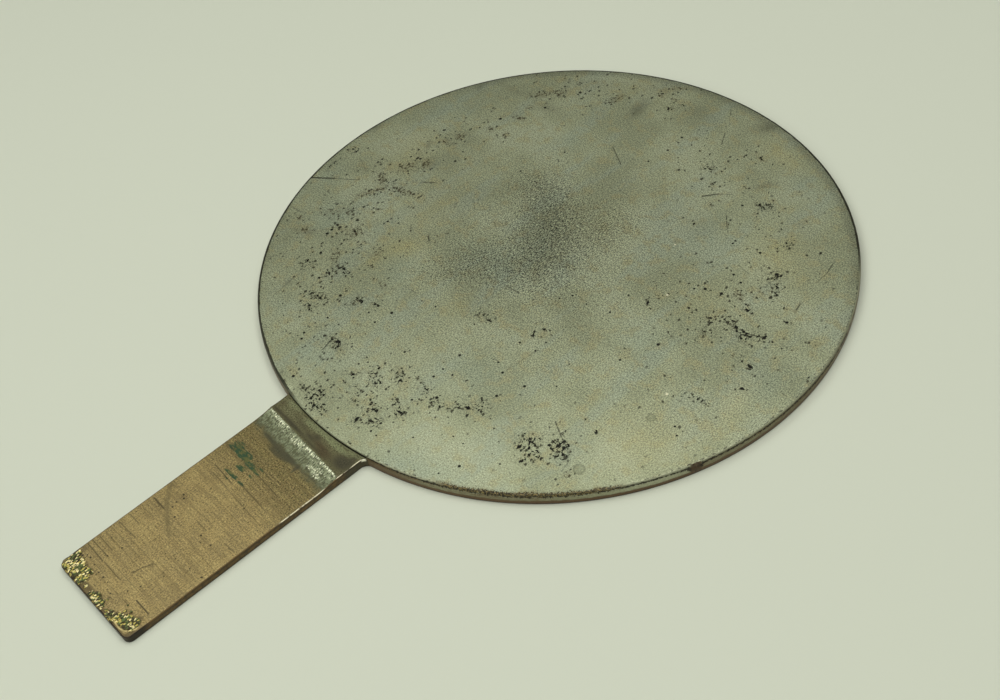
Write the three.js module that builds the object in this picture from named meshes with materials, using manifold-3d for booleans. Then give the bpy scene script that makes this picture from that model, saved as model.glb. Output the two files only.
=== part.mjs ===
// A round bronze mirror with a flat handle, cast in one piece, lying with its polished face up.
// Millimetres, +Z up. The origin is the middle of the footprint, at the level of the table.
// The handle points along -Y. The shapes are worked out about the disc's centre and moved at the end.

import * as THREE from "three";
import { mergeVertices } from "three/addons/utils/BufferGeometryUtils.js";
import Module from "manifold-3d";

// Disc: the face, its edge and the side wall
const discRadius = 120;
const rimHeight = 5.3; // from the table to the edge of the face
const faceCrown = 0.5; // how much higher the middle of the face stands
const arrisWidth = 0.4; // the worn edge of the face, across
const arrisDrop = 0.3; // and down
const wallBulge = 0.25; // the side wall swells this much beyond the foot of the arris
const footEase = 0.3; // the rounded lower edge

// Disc: the back, a raised rim around a sunken field
const backRimWidth = 7;
const backRecess = 2.2;
const backStepRun = 0.8; // the slope of the step between rim and field

// Handle: a flat bar, a little wider where it joins the disc
const handleReach = 98.8; // beyond the disc's edge
const neckWidth = 45.2;
const tipWidth = 43.8;
const handleThickness = 3.2;
const handleEase = 0.4; // the eased edges all round
const tipCornerRadius = 2.5;
const handleLean = THREE.MathUtils.degToRad(0.46); // it isn't quite square to the disc, and leans to -X

// Neck: the bar thickens in a ramp up to a ridge, and is slightly dished from there to the disc
const neckHeight = 4.15;
const neckDish = 0.2;
const ridgeFromDisc = 7.9; // from the disc's edge to the ridge, along the middle line
const rampLength = 11.1;
const ridgeSlant = THREE.MathUtils.degToRad(4.1); // the ridge isn't quite square to the handle

// Small fillets in the corners between handle and disc, the one on the +X side the larger
const filletRight = 3;
const filletLeft = 0.6;

// How finely round shapes are divided
const discSteps = 144;
const crownRings = 4;
const wallSteps = 4;
const cornerSteps = 6;
const rampSteps = 8;
const easeSteps = 2;

const bronzeColour = 0x8d9374;

// Levels and places that follow from the sizes
const overallLength = 2 * discRadius + handleReach;
const discCentreY = overallLength / 2 - discRadius;
const tipY = -(discRadius + handleReach);
const rootY = -(discRadius - 0.75 * backRimWidth); // the handle's inner end, buried in the back rim
const ridgeY = -(discRadius + ridgeFromDisc);
const rampFootY = ridgeY - rampLength;
const neckHalf = neckWidth / 2;
const leanPivotY = -(discRadius + 0.44 * handleReach); // where the leaning handle crosses the middle line

const wasm = await Module();
wasm.setup();

// A closed geometry as a solid for joining
function solid(geometry) {
  const bare = geometry.index ? geometry.toNonIndexed() : geometry.clone();
  bare.deleteAttribute("normal");
  bare.deleteAttribute("uv");
  const merged = mergeVertices(bare);
  return new wasm.Manifold(
    new wasm.Mesh({
      numProp: 3,
      vertProperties: new Float32Array(merged.attributes.position.array),
      triVerts: new Uint32Array(merged.index.array),
    }),
  );
}

// A joined solid as a geometry again
function geometryOf(joined) {
  const mesh = joined.getMesh();
  const geometry = new THREE.BufferGeometry();
  geometry.setAttribute("position", new THREE.BufferAttribute(mesh.vertProperties, 3));
  geometry.setIndex(new THREE.BufferAttribute(mesh.triVerts, 1));
  return geometry;
}

// The disc: one profile turned about the vertical axis, from the middle of the back, out over the
// rim and the side wall, and in over the slightly domed face
function discGeometry() {
  const profile = new THREE.Path();
  profile.moveTo(0, backRecess);
  profile.lineTo(discRadius - backRimWidth - backStepRun, backRecess);
  profile.lineTo(discRadius - backRimWidth, 0);
  profile.lineTo(discRadius - footEase, 0);
  const outline = profile.getPoints(1);

  const wallFoot = new THREE.Vector2(discRadius - wallBulge / 2, footEase);
  const wallTop = new THREE.Vector2(discRadius - wallBulge, rimHeight - arrisDrop);
  // pulled out so far that the wall's widest place is at the disc's radius
  const wallPull = new THREE.Vector2(discRadius + wallBulge * Math.SQRT1_2, rimHeight / 2);
  outline.push(...new THREE.QuadraticBezierCurve(wallFoot, wallPull, wallTop).getPoints(wallSteps));

  const faceRadius = discRadius - wallBulge - arrisWidth;
  for (let ring = 0; ring <= crownRings; ring++) {
    const r = faceRadius * (1 - ring / crownRings);
    outline.push(new THREE.Vector2(r, rimHeight + faceCrown * (1 - (r / faceRadius) ** 2)));
  }
  const turned = new THREE.LatheGeometry(outline, discSteps);
  return turned.rotateX(Math.PI / 2);
}

// The bar of the handle: its outline in plan, extruded to its thickness with eased edges
function barGeometry() {
  const outline = new THREE.Shape();
  const r = tipCornerRadius;
  outline.moveTo(neckHalf, rootY);
  outline.lineTo(-neckHalf, rootY);
  outline.lineTo(-neckHalf, tipY + r);
  outline.absarc(-neckHalf + r, tipY + r, r, Math.PI, 1.5 * Math.PI, false);
  outline.absarc(neckHalf - r, tipY + r, r, 1.5 * Math.PI, 2 * Math.PI, false);
  outline.closePath();
  const bar = new THREE.ExtrudeGeometry(outline, {
    depth: handleThickness - 2 * handleEase,
    bevelThickness: handleEase,
    bevelSize: handleEase,
    bevelOffset: -handleEase,
    bevelSegments: easeSteps,
    curveSegments: cornerSteps,
  });
  return bar.translate(0, 0, handleEase);
}

// The thicker neck: its side profile, extruded across the handle with the same eased edges and
// sheared by the slant of the ridge
function neckGeometry() {
  const base = handleThickness / 3;
  const dishY = (ridgeY - discRadius) / 2;
  const profile = new THREE.Shape();
  profile.moveTo(rootY, base);
  profile.lineTo(rootY, neckHeight);
  profile.lineTo(-discRadius, neckHeight);
  profile.quadraticCurveTo(dishY, neckHeight - 2 * neckDish, ridgeY, neckHeight);
  profile.quadraticCurveTo(ridgeY - rampLength / 3, handleThickness, rampFootY, handleThickness);
  profile.lineTo(rampFootY, base);
  profile.closePath();
  const neck = new THREE.ExtrudeGeometry(profile, {
    depth: neckWidth - 2 * handleEase,
    bevelThickness: handleEase,
    bevelSize: handleEase,
    bevelOffset: -handleEase,
    bevelSegments: easeSteps,
    curveSegments: rampSteps,
  });
  neck.translate(0, 0, handleEase - neckHalf);
  const acrossHandle = new THREE.Matrix4().makeBasis(
    new THREE.Vector3(0, 1, 0),
    new THREE.Vector3(0, 0, 1),
    new THREE.Vector3(1, 0, 0),
  );
  neck.applyMatrix4(acrossHandle);
  return neck.applyMatrix4(new THREE.Matrix4().makeShear(-Math.tan(ridgeSlant), 0, 0, 0, 0, 0));
}

// A fillet in one corner: the sliver between the handle's side, the disc and an arc that touches
// both; side is 1 for +X and -1 for -X
function filletGeometry(side, radius) {
  const centreX = neckHalf + radius;
  const centreY = -Math.sqrt((discRadius + radius) ** 2 - centreX ** 2);
  const towardsDisc = Math.atan2(-centreY, -centreX);
  const sliver = new THREE.Shape();
  sliver.moveTo(neckHalf - handleEase, rootY);
  sliver.lineTo(neckHalf - handleEase, centreY);
  sliver.absarc(centreX, centreY, radius, Math.PI, towardsDisc, true);
  sliver.closePath();
  const fillet = new THREE.ExtrudeGeometry(sliver, {
    depth: neckHeight - handleEase,
    bevelEnabled: false,
    curveSegments: cornerSteps,
  });
  return side > 0 ? fillet : fillet.rotateY(Math.PI).translate(0, 0, neckHeight - handleEase);
}

// The handle narrows evenly from the disc's edge to its tip, and leans a little to one side
function taperAndLean(geometry) {
  const position = geometry.attributes.position;
  for (let i = 0; i < position.count; i++) {
    const y = position.getY(i);
    const along = THREE.MathUtils.clamp((-discRadius - y) / handleReach, 0, 1);
    const narrowed = position.getX(i) * THREE.MathUtils.lerp(1, tipWidth / neckWidth, along);
    position.setX(i, narrowed + Math.tan(handleLean) * (y - leanPivotY));
  }
  return geometry;
}

const handle = solid(barGeometry())
  .add(solid(neckGeometry()))
  .add(solid(filletGeometry(1, filletRight)))
  .add(solid(filletGeometry(-1, filletLeft)));
const casting = solid(discGeometry()).add(solid(taperAndLean(geometryOf(handle))));

const mirror = new THREE.Mesh(
  geometryOf(casting),
  new THREE.MeshStandardMaterial({ color: bronzeColour, roughness: 0.4, metalness: 1 }),
);
mirror.name = "mirror";
mirror.geometry.computeVertexNormals();
mirror.position.y = discCentreY;

const part = new THREE.Group();
part.add(mirror);

export default part;
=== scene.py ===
import math

import bpy
import numpy as np
from mathutils import Matrix, Vector, geometry


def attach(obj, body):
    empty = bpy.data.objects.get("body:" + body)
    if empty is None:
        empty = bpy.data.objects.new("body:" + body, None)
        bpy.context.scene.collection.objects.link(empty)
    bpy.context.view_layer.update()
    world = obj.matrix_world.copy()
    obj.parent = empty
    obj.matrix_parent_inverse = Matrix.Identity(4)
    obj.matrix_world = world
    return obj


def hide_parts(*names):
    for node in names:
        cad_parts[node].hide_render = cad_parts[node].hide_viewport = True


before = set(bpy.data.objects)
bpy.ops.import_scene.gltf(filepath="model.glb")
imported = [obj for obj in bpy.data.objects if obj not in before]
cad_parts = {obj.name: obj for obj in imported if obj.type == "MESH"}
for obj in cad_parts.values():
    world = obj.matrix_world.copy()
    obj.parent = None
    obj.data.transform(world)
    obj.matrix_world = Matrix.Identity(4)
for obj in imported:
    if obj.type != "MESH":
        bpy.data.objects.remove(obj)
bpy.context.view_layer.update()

# A round bronze mirror with a flat handle, cast in one piece, lying with its polished face up.
# Sizes are in millimetres. Shapes are worked out about the middle of the disc, with the handle
# along -Y, and moved to the part's own origin at the end.
MM = 0.001
TO_MM = (1 / MM, 1 / MM, 1 / MM)

# Disc
DISC_RADIUS = 120.0
RIM_HEIGHT = 5.3
FACE_CROWN = 0.5
ARRIS_WIDTH = 0.4
ARRIS_DROP = 0.3
WALL_BULGE = 0.25
FOOT_EASE = 0.3
BACK_RIM_WIDTH = 7.0
BACK_RECESS = 2.2
BACK_STEP_RUN = 0.8

# Handle
HANDLE_REACH = 98.8
NECK_WIDTH = 45.2
TIP_WIDTH = 43.8
HANDLE_THICKNESS = 3.2
HANDLE_EASE = 0.4
TIP_CORNER_RADIUS = 2.5
HANDLE_LEAN = math.radians(0.46)
NECK_HEIGHT = 4.15
NECK_DISH = 0.2
RIDGE_FROM_DISC = 7.9
RAMP_LENGTH = 11.1
RIDGE_SLANT = math.radians(4.1)
FILLET_RIGHT = 3.0
FILLET_LEFT = 0.6

# Places that follow from the sizes
DISC_CENTRE_Y = (2 * DISC_RADIUS + HANDLE_REACH) / 2 - DISC_RADIUS
FACE_RADIUS = DISC_RADIUS - WALL_BULGE - ARRIS_WIDTH
WALL_TOP_RADIUS = DISC_RADIUS - WALL_BULGE
STEP_FOOT_RADIUS = DISC_RADIUS - 0.14
GROOVE_WIDTH = 0.5
GROOVE_DEPTH = 0.15
NECK_HALF = NECK_WIDTH / 2
TIP_Y = -(DISC_RADIUS + HANDLE_REACH)
RIDGE_Y = -(DISC_RADIUS + RIDGE_FROM_DISC)
RAMP_FOOT_Y = RIDGE_Y - RAMP_LENGTH
LEAN_PIVOT_Y = -(DISC_RADIUS + 0.44 * HANDLE_REACH)
SKIN = 0.012  # the dressed casting stays this much inside the plain one

# How closely the surface is divided
FACE_SPACING = 2.5
FINE_SPACING = 0.42
RIM_SPACING = 1.25
WORN_RIM_SPACING = 0.5
SIDE_SPACING = 0.8
BACK_SPACING = 3.4
WORN_RIM_FROM, WORN_RIM_TO = -86.0, 24.0  # degrees round the disc, 0 at +X

SHARP_FROM = math.radians(50)  # edges that turn by more than this are drawn sharp

# Sides of the disc, in degrees round it: the middle of the near side and of the gold fringe
NEAR_SIDE = -31.0
GILT_SIDE = -49.0

rng = np.random.default_rng(11)


def smooth(low, high, x):
    """0 below low, 1 above high, and an even curve between them."""
    t = np.clip((np.asarray(x, float) - low) / (high - low), 0, 1)
    return t * t * (3 - 2 * t)


def mixed(a, b, share):
    return a + (b - a) * share


# Where the surface is worn, pitted, scratched and stained, read off the real one.
# Beds of pits: x, y, half length, half width, turn in degrees, strength
BLACK_BEDS = [
    (73.2, -68.8, 4.6, 3.4, -15, 0.95), (64.2, -73.6, 3.6, 2.8, 60, 0.8), (61.6, -77.6, 2.2, 1.8, 0, 0.9),
    (68.4, -77, 2.4, 2, 40, 0.85), (66.8, -81.6, 1.8, 1.3, 30, 0.8), (-53.2, -78.8, 4.6, 2, 15, 0.9),
    (-57, -64, 4.6, 2.4, 15, 0.6), (-70.8, -69.6, 3.8, 2.4, 25, 0.7), (-60.4, -69, 1.5, 3, 0, 0.6),
    (-38.6, -70.2, 2.2, 3.6, -20, 0.7), (-50.6, -84.6, 3.2, 2.2, -20, 0.6),
    (-27.6, -90.4, 4.4, 2.2, -18, 0.95), (-12.8, -110.4, 2.6, 2.6, 30, 0.8),
    (-9.4, -114.2, 6.4, 2.4, -8, 0.8), (-1.6, -92, 4.4, 2.6, -22, 0.85),
    (14.4, -95.4, 3.6, 1.6, -42, 0.9), (18.4, -96.2, 1.4, 2, 0, 0.8), (8.8, -101, 3.8, 1.6, -20, 0.95),
    (1, -104.4, 2.2, 1.3, 0, 0.8), (8, -109.4, 1.4, 1.8, 0, 0.8), (14.4, -105, 4.6, 3.2, 0, 0.42),
    (-10, -96.2, 2, 1.2, -10, 0.8), (-3.2, -99.8, 3.2, 1.1, -35, 0.7), (16.8, -83.6, 1.5, 2, 0, 0.8),
    (11.6, -81, 2.6, 1.1, 0, 0.7), (24.4, -84.2, 4.2, 2.2, 12, 0.5), (30.8, -80.8, 2.4, 1.3, 55, 0.8),
    (34.8, -77.8, 2.4, 1.7, 40, 0.97), (37.8, -74.6, 3.6, 1.4, -45, 0.85),
    (4.6, -85.8, 3.8, 2, -35, 0.55), (2.6, -83.4, 2.8, 1.2, 15, 0.6), (10.4, -93.2, 2, 1, -30, 0.7),
    (84.6, 14.8, 5.4, 1.4, 2, 0.9), (91, 17.4, 3, 1.3, 28, 0.85), (87, 12.4, 1.6, 1.2, 0, 0.8),
    (77.8, 16.6, 2.8, 2, 0, 0.6), (75.6, 46.6, 2.2, 1.5, 0, 0.97), (76.4, 42.6, 3.4, 2, -60, 0.7),
    (81.4, 38.6, 3.8, 1.4, -60, 0.7), (75, 5, 1.1, 1.8, 30, 0.8), (97.8, 3.8, 1.6, 1.2, -20, 0.9),
    (48.4, 3.4, 1.3, 0.8, -30, 0.75), (73.4, 11.2, 1.2, 2.8, 35, 0.6), (78.8, 25, 1.1, 1.8, 0, 0.8),
    (47.8, 73.6, 4.8, 2.8, 35, 0.6), (69, 62.4, 3.6, 1.3, -42, 0.65), (23.2, 70, 2.2, 1, -40, 0.6),
    (15.2, 77.6, 4, 1.1, 42, 0.7), (6, -43.2, 4.6, 2.6, -12, 0.6), (102.2, -6, 1.4, 0.8, 10, 0.95),
    (17.2, -24, 1.8, 0.8, 0, 0.55), (27.6, 96, 2.4, 0.9, 0, 0.65), (26.4, -36.6, 2.8, 1.6, -30, 0.5),
    (31, 48, 3.2, 1.3, 0, 0.5), (-113.4, -12, 2.6, 2.6, 20, 0.7), (-112.6, -25.6, 0.9, 3.2, 20, 0.8),
    (-24.2, 97.4, 2.8, 1.2, 25, 0.8), (-21.2, 102, 1.2, 1.8, 0, 0.7), (94.4, 29.6, 2, 1, 30, 0.6),
    (94.6, -20.4, 4.6, 1.8, 20, 0.45), (117.2, 12.8, 1, 2, 0, 0.7), (66.2, 25.2, 0.9, 0.9, 0, 0.95),
    (-18.6, -112.6, 3, 1.6, 10, 0.6), (-31, -67, 3, 1, 0, 0.6), (70.8, -54.4, 0.9, 1.3, 0, 0.7),
    (77.4, -54.8, 0.9, 1.3, 20, 0.6), (28.4, -32.6, 1.3, 0.8, 0, 0.7),
]
BROWN_BEDS = [
    (-76.2, 68.4, 4.4, 1.9, 42, 0.9), (-70.8, 74.8, 3.6, 2.2, 35, 0.75), (-48, 87, 2, 4.6, -20, 0.88),
    (-72, 50.4, 4, 1.8, 12, 0.65), (-76, 37.2, 2, 1.3, 0, 0.7), (-67.6, 38.2, 1.5, 1.7, 0, 0.65),
    (-83.2, 25.2, 1.9, 2.8, -10, 0.85), (-85, 18.4, 2.4, 1.5, 10, 0.8), (-79.8, 2, 2.8, 2, -25, 0.75),
    (-85.6, -4.6, 2.6, 4.8, -20, 0.78), (-88.2, -16.4, 4.4, 1.6, -30, 0.72),
    (-83.6, -21, 1.3, 3.6, -15, 0.8), (-86.6, -27.4, 1.5, 4.2, -18, 0.82),
    (-74.2, -15.4, 6, 1.9, 10, 0.75), (-70.8, -45.6, 5, 3.4, 10, 0.58), (-96.8, -55, 3.4, 1.4, 0, 0.55),
    (-88.6, -59, 5.6, 1.4, 30, 0.6), (-33.2, 101.6, 2.6, 1.1, 0, 0.6), (-30.8, 110.2, 3.4, 1.6, 40, 0.6),
    (-27, 103.2, 1.6, 0.9, 0, 0.8), (72.4, 28.4, 3.2, 1.8, -20, 0.7), (82.6, -75.2, 1.5, 2, 0, 0.55),
    (108.4, 27.2, 2, 0.9, 20, 0.6), (-38.2, -58.2, 3.4, 1.8, 0, 0.42), (-74.4, 83.2, 1.8, 0.9, 25, 0.65),
    (-82, -39, 4, 2.4, 0, 0.4), (-88.4, -43.8, 4, 2, 30, 0.45), (-53, -48.4, 5, 2.6, -40, 0.36),
    (-66.4, -60, 4, 2.4, -40, 0.4), (-73, 58.4, 2.4, 1.2, 30, 0.5),
]
# Single round pits: x, y, radius
ROUND_PITS = [
    (-79.8, -51, 0.57), (-79.4, -53.8, 0.66), (-46.4, -73, 0.66), (-61.2, -72.4, 0.48),
    (-72.4, -62.6, 0.53), (-41.6, -95.2, 0.53), (-39.8, -97.8, 0.53), (-26.8, -111.8, 0.62),
    (-3.6, -75.6, 0.48), (-4.8, -87.6, 0.53), (-18.8, -102.8, 0.4), (-24.4, -73.2, 0.44),
    (-30.4, -71.4, 0.4), (-23.2, -65.6, 0.62), (-40.8, -84, 0.44), (-71.2, -45.4, 0.53),
    (-65.2, -32.4, 0.53), (-76.4, -30.8, 0.44), (-19, -53.5, 0.35), (-12.5, -52, 0.4), (-112, -47, 0.35),
    (41, -9.8, 0.44), (65.8, -10, 0.66), (60.8, -7.4, 0.31), (60.4, -24.9, 0.48), (24, -12.8, 0.44),
    (31.2, -12.6, 0.35), (21.2, -17.2, 0.4), (33.6, -42.4, 0.44), (26.2, -43.4, 0.44), (33.6, -36.8, 0.4),
    (27.2, -55.6, 0.44), (43, -57.2, 0.56), (32.1, -58, 0.53), (51.8, -49.4, 0.35), (47.8, -38.8, 0.31),
    (96, -34.8, 0.44), (99.2, -37.4, 0.4), (52, -97.8, 0.57), (48.8, -104.8, 0.35), (62, -87.6, 0.35),
    (38.6, -67.2, 0.57), (22.6, -82.4, 0.66), (58.8, -72.4, 0.35), (40.6, -90.4, 0.31),
    (45.6, -90.2, 0.31), (13.6, -62.8, 0.53), (14, -76.4, 0.53), (14, -71.6, 0.44), (18.8, -71.2, 0.44),
    (26.4, -84.4, 0.4), (16.4, -89.2, 0.44), (4.8, -99.6, 0.44), (23.2, 98.2, 0.35), (21.6, 93.6, 0.44),
    (28, 92.2, 0.31), (20.4, 89.4, 0.35), (4.8, 83.6, 0.48), (40.4, 68.6, 0.53), (-7, 85.6, 0.53),
    (-7.4, 64.8, 0.48), (-6, 75.4, 0.53), (-39.2, 46.4, 0.44), (-45, 25.6, 0.44), (-60.8, 84, 0.4),
    (63.2, 51.8, 0.56), (51.6, 50.8, 0.48), (51.8, 49, 0.44), (42.4, 58.8, 0.44), (63.2, 36, 0.53),
    (68, 34.4, 0.53), (60, 23, 0.66), (56.8, 20.4, 0.44), (76.8, 26.8, 0.44), (62, 11.4, 0.53),
    (64.8, 12.4, 0.44), (57.2, 15.4, 0.35), (56.2, 10.6, 0.4), (71.6, 12.8, 0.53), (85.2, 15.4, 0.63),
    (81.8, 15.4, 0.62), (48.4, 3.4, 0.56), (40.2, 1.4, 0.44), (97.8, 3.8, 0.7), (86.6, 12.3, 0.53),
    (-69.6, 15.8, 0.44), (-72, 12, 0.57), (-92, 23.2, 0.53), (-90.8, 20, 0.35), (-78, 44.8, 0.66),
    (-68, 63, 0.63), (-85.2, 3.2, 0.53), (-89.6, 1.6, 0.44), (80.8, 66.8, 0.53), (94, 29.4, 0.62),
    (30, -100.4, 0.35), (19.2, -108.8, 0.35), (16.2, -108.8, 0.44), (16.2, -104, 0.44),
    (12, -107.6, 0.35), (92.8, 18, 0.63), (75.6, 46.6, 0.77), (66.2, 25.2, 0.62), (78.8, 24.8, 0.56),
    (73.6, -67.6, 0.7), (69, -70.2, 0.63), (61.6, -77.8, 0.7), (66.8, -81.6, 0.56), (34.8, -78, 0.7),
    (10.4, -101.4, 0.7), (-27.8, -89.6, 0.7), (8, -109, 0.63), (102.2, -6, 0.62), (28.4, -32.6, 0.62),
    (-9.9, -95.9, 0.56),
]
# Scratches: from x, y, to x, y, half width, strength
SCRATCHES = [
    (-114.6, -36.6, -105, -29.6, 0.55, 1), (-105, -29.6, -96, -23.6, 0.3, 0.7),
    (-106.8, -13.6, -98.4, -17.2, 0.3, 0.35), (-25.6, 62.2, -14.4, 55.6, 0.22, 0.9),
    (-53.2, 77.2, -49.6, 74.4, 0.3, 0.5), (5.2, 99.6, 9.2, 92.4, 0.28, 0.8),
    (-3.2, 113.2, -0.4, 110, 0.25, 0.7), (24.4, 62.4, 28.4, 67.6, 0.45, 0.9),
    (28.4, 67.6, 33.6, 71.6, 0.4, 0.5), (39.6, 59.6, 43.6, 55.2, 0.3, 0.8),
    (43.6, 55.2, 47, 52, 0.25, 0.5), (13.2, 82, 16, 79.4, 0.25, 0.6), (88, 64.8, 89.2, 60, 0.25, 0.8),
    (89.2, 60, 89.6, 52.8, 0.22, 0.55), (61.6, 41.2, 67.6, 40, 0.22, 0.5),
    (92, 39.6, 92.7, 36.6, 0.3, 0.9), (0.4, -26, 7.4, -25.6, 0.28, 0.75),
    (34, -42, 32.2, -57.6, 0.25, 0.4), (-44.9, -27.5, -42.6, -28.8, 0.4, 0.95),
    (-72.2, -6.2, -68, -3.2, 0.55, 0.7), (-32.4, -52.8, -22.8, -52, 0.22, 0.4),
    (-30.8, -88.8, -28.8, -96, 0.3, 0.95), (-69.6, -77, -67.4, -91.6, 0.3, 0.4),
    (-83.6, -72.8, -87, -78, 0.25, 0.35), (-104.4, -53.2, -99.6, -52.8, 0.4, 0.5),
    (63.2, -61.4, 69.6, -64.8, 0.32, 0.85), (69.6, -64.8, 75.2, -67.2, 0.32, 0.8),
    (75.2, -67.2, 79.2, -71, 0.28, 0.55), (79.2, -71, 80.2, -75.4, 0.28, 0.45),
    (87, 15.6, 92.8, 18, 0.4, 0.9), (-37.9, 41.2, -36.4, 40.1, 0.35, 0.8), (84, 86.4, 84.8, 83, 0.5, 1),
    (-34, 30, -31, -10, 0.3, 0.12), (30, -12, 12, 60, 0.25, 0.14), (-10, -30, 22, 18, 0.25, 0.13),
    (58, -30, 70, -2, 0.22, 0.14), (10, -70, 48, -44, 0.22, 0.16), (-60, -20, -42, 8, 0.22, 0.13),
    (96, 30, 103, 8, 0.22, 0.14), (-60.6, 20, -58, 62, 0.25, 0.1),
]
# Soft patches on the face: x, y, half length, half width, turn in degrees, strength
DARK_BLOOM = [
    (-30, 24, 14, 9, -10, 0.42), (-12, 10, 20, 13, -35, 0.5), (2, -8, 15, 11, -30, 0.5),
    (-16, -24, 19, 11, 10, 0.45), (-4, 4, 34, 27, -30, 0.38), (-24, -38, 12, 7, 40, 0.35),
    (8, 22, 10, 16, 0, 0.3), (-8, 6, 6, 9, 0, 0.3),
]
DARK_PATCHES = [
    (-34.8, 88, 3, 6.6, 12, 0.75), (17.2, 114.2, 2.6, 3, 0, 0.8), (15, 112, 5, 5, 0, 0.35),
    (39.6, 83, 1.6, 4.6, -35, 0.5), (-13, 103, 6, 5, 0, 0.25), (-66, 63.6, 6.5, 3, 10, 0.4),
    (-88, 63, 9, 1.6, 0, 0.3), (-102.8, 55.6, 2, 4, 30, 0.5), (-89.6, 12.2, 1.5, 1.8, 0, 0.75),
    (-88.8, 7.6, 0.7, 3.4, 10, 0.55), (-80, 4, 4, 3, 0, 0.3), (-69.3, -82.4, 1.1, 1.8, 0, 0.55),
    (-86, -58.8, 3, 1.6, 20, 0.35), (-26, -90, 5, 3, 0, 0.3), (-118, 5, 2, 6, 0, 0.6),
    (36, 48, 10, 7, 40, 0.2), (-60, 90, 14, 5, 35, 0.22), (-36, 106, 10, 4, 20, 0.25),
    (33.8, 34.8, 1.2, 0.6, 0, 0.5), (-97, -14, 8, 6, 0, 0.14), (62, 74, 6, 3, 0, 0.14),
    (84.4, -71.8, 0.8, 0.6, 0, 0.5), (-107, 30, 5, 9, 10, 0.2), (-70, 15, 9, 16, 0, 0.14),
]
# Pale patches and painted highlights: the lighter near side, the bright band inside the near right rim
# and a few small glints
PALE_AND_GLARE_PATCHES = [
    (105, -14, 4, 10, 10, 0.6), (83.6, -25.6, 0.8, 0.8, 0, 0.9), (50.6, 11.8, 0.6, 0.6, 0, 0.9),
    (24.6, 60.4, 0.5, 0.5, 0, 0.8), (35, 102, 9, 4, -10, 0.4), (5, 80, 8, 12, 0, 0.3),
    (90, -48, 14, 20, -20, 0.4), (0, -82, 20, 14, 0, 0.45), (40, -95, 26, 10, 20, 0.4),
    (-58, -20, 12, 18, 20, 0.25), (78, 60, 10, 12, 0, 0.25), (-28, 8, 3, 3, 0, 0.2),
    (-22, -86.5, 1.4, 0.9, 0, 0.5), (31.4, -92.2, 0.7, 0.7, 0, 0.4), (34.2, 32.8, 0.6, 1.8, 0, 0.35),
    (-2, 60, 14, 10, 20, 0.2),
]
WARM_PATCHES = [
    (-48, -38, 5, 9, -45, 0.9), (-52, -50, 4, 7, -10, 0.5), (-5.6, -46, 4, 5, 0, 0.5),
    (33.6, 102.8, 11, 4.5, -15, 0.8), (69, 56, 9, 12, 20, 0.6), (80, 50, 6, 6, 0, 0.5),
    (105, -14, 5, 12, 10, 0.6), (92, -46, 12, 16, -25, 0.55), (-88, 0, 7, 14, 0, 0.4),
    (-96, 10, 8, 10, 0, 0.3), (5, 20, 14, 12, 0, 0.25), (-40, 100, 14, 8, 20, 0.35),
    (-58, -14, 14, 10, 0, 0.35), (-70, 80, 10, 8, 30, 0.3), (62, 18, 10, 10, 0, 0.3),
]
COOL_PATCHES = [
    (-88, -45, 8, 10, 30, 0.7), (-25.6, -99, 12, 6, 20, 0.7), (-38, -48, 6, 7, 0, 0.6),
    (-4, -22, 8, 5, 0, 0.5), (60, -12, 9, 9, 0, 0.6), (52, 94, 9, 5, -20, 0.6), (-42, 52, 5, 8, 0, 0.5),
    (-104, 34, 8, 14, 0, 0.5), (38, 50, 8, 8, 0, 0.5), (24, -66, 14, 9, 30, 0.5), (108, 0, 5, 12, 0, 0.5),
    (-60, -92, 8, 5, 20, 0.5), (40, -108, 16, 5, 25, 0.6), (-108, -30, 6, 10, 20, 0.5),
    (-20, -20, 14, 8, 0, 0.3),
]
# Faint round stains, and glints painted as small bright highlights: x, y, radius
STAINS = [(87.2, -37.5, 1.7), (84.1, -70.7, 2.2)]
GLINT_SPOTS = [(84.1, -25.7, 0.7), (51.3, 11.2, 0.6), (35.1, 33.8, 0.5)]
ORANGE_DOTS = [(18.6, -45.4, 0.65), (54.2, -81.6, 0.45), (51.6, 84.2, 0.5)]

# Where a highlight is painted in the corner between neck and disc: x, y
HIGHLIGHT_CORNER = (24.1, -119.0)

# Areas strewn with single small pits
SPECKLED = [
    (-72, -42, 26, 40, 15, 0.75), (-20, -96, 44, 20, -12, 0.75), (74, 12, 26, 40, 15, 0.7),
    (-60, 84, 30, 14, 38, 0.7), (20, 84, 40, 18, -12, 0.45), (66, -72, 16, 10, -20, 0.6),
    (60, 40, 20, 26, 0, 0.5), (-84, 20, 14, 34, 0, 0.5), (34, -74, 22, 12, 10, 0.5),
]

# On the handle and its neck
VERDIGRIS = [
    (-10.2, -147.3, 7, 1.1, -1, 1), (-14.9, -145.7, 4, 1.5, 0, 0.75), (-7.8, -150.6, 2.6, 1.2, 0, 1),
    (-8.2, -154.7, 3.8, 0.95, 0, 1), (-3.3, -148.3, 3, 0.8, 0, 0.9), (-1.6, -151, 1.9, 0.7, 0, 0.85),
    (-1.3, -146.2, 1.4, 0.6, 0, 0.7), (-2.4, -154.9, 2.6, 0.45, 0, 0.6), (-8.4, -157, 1.8, 0.5, 0, 0.7),
    (-10.1, -145.5, 2.4, 1.3, 0, 0.62), (-17.1, -144.3, 2.4, 1.4, 0, 0.6), (-17, -147.6, 3, 0.5, 0, 0.6),
]
HANDLE_SMEARS = [
    (-20.5, -172.5, 2.2, 0.9, 0, 0.6), (3, -196.2, 0.9, 0.85, 0, 0.95), (0.6, -202.6, 0.4, 0.5, 0, 0.95),
    (-20.6, -209.2, 1.2, 0.8, 0, 0.85), (-17, -180.6, 1.6, 0.6, 0, 0.6), (7.4, -177.9, 1.4, 0.5, 0, 0.4),
    (-12.6, -172.3, 1.6, 0.9, 0, 0.4), (-5.5, -146, 1, 0.7, 0, 0.5), (-9, -143.4, 9, 1.4, 0, 0.3),
]
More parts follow.
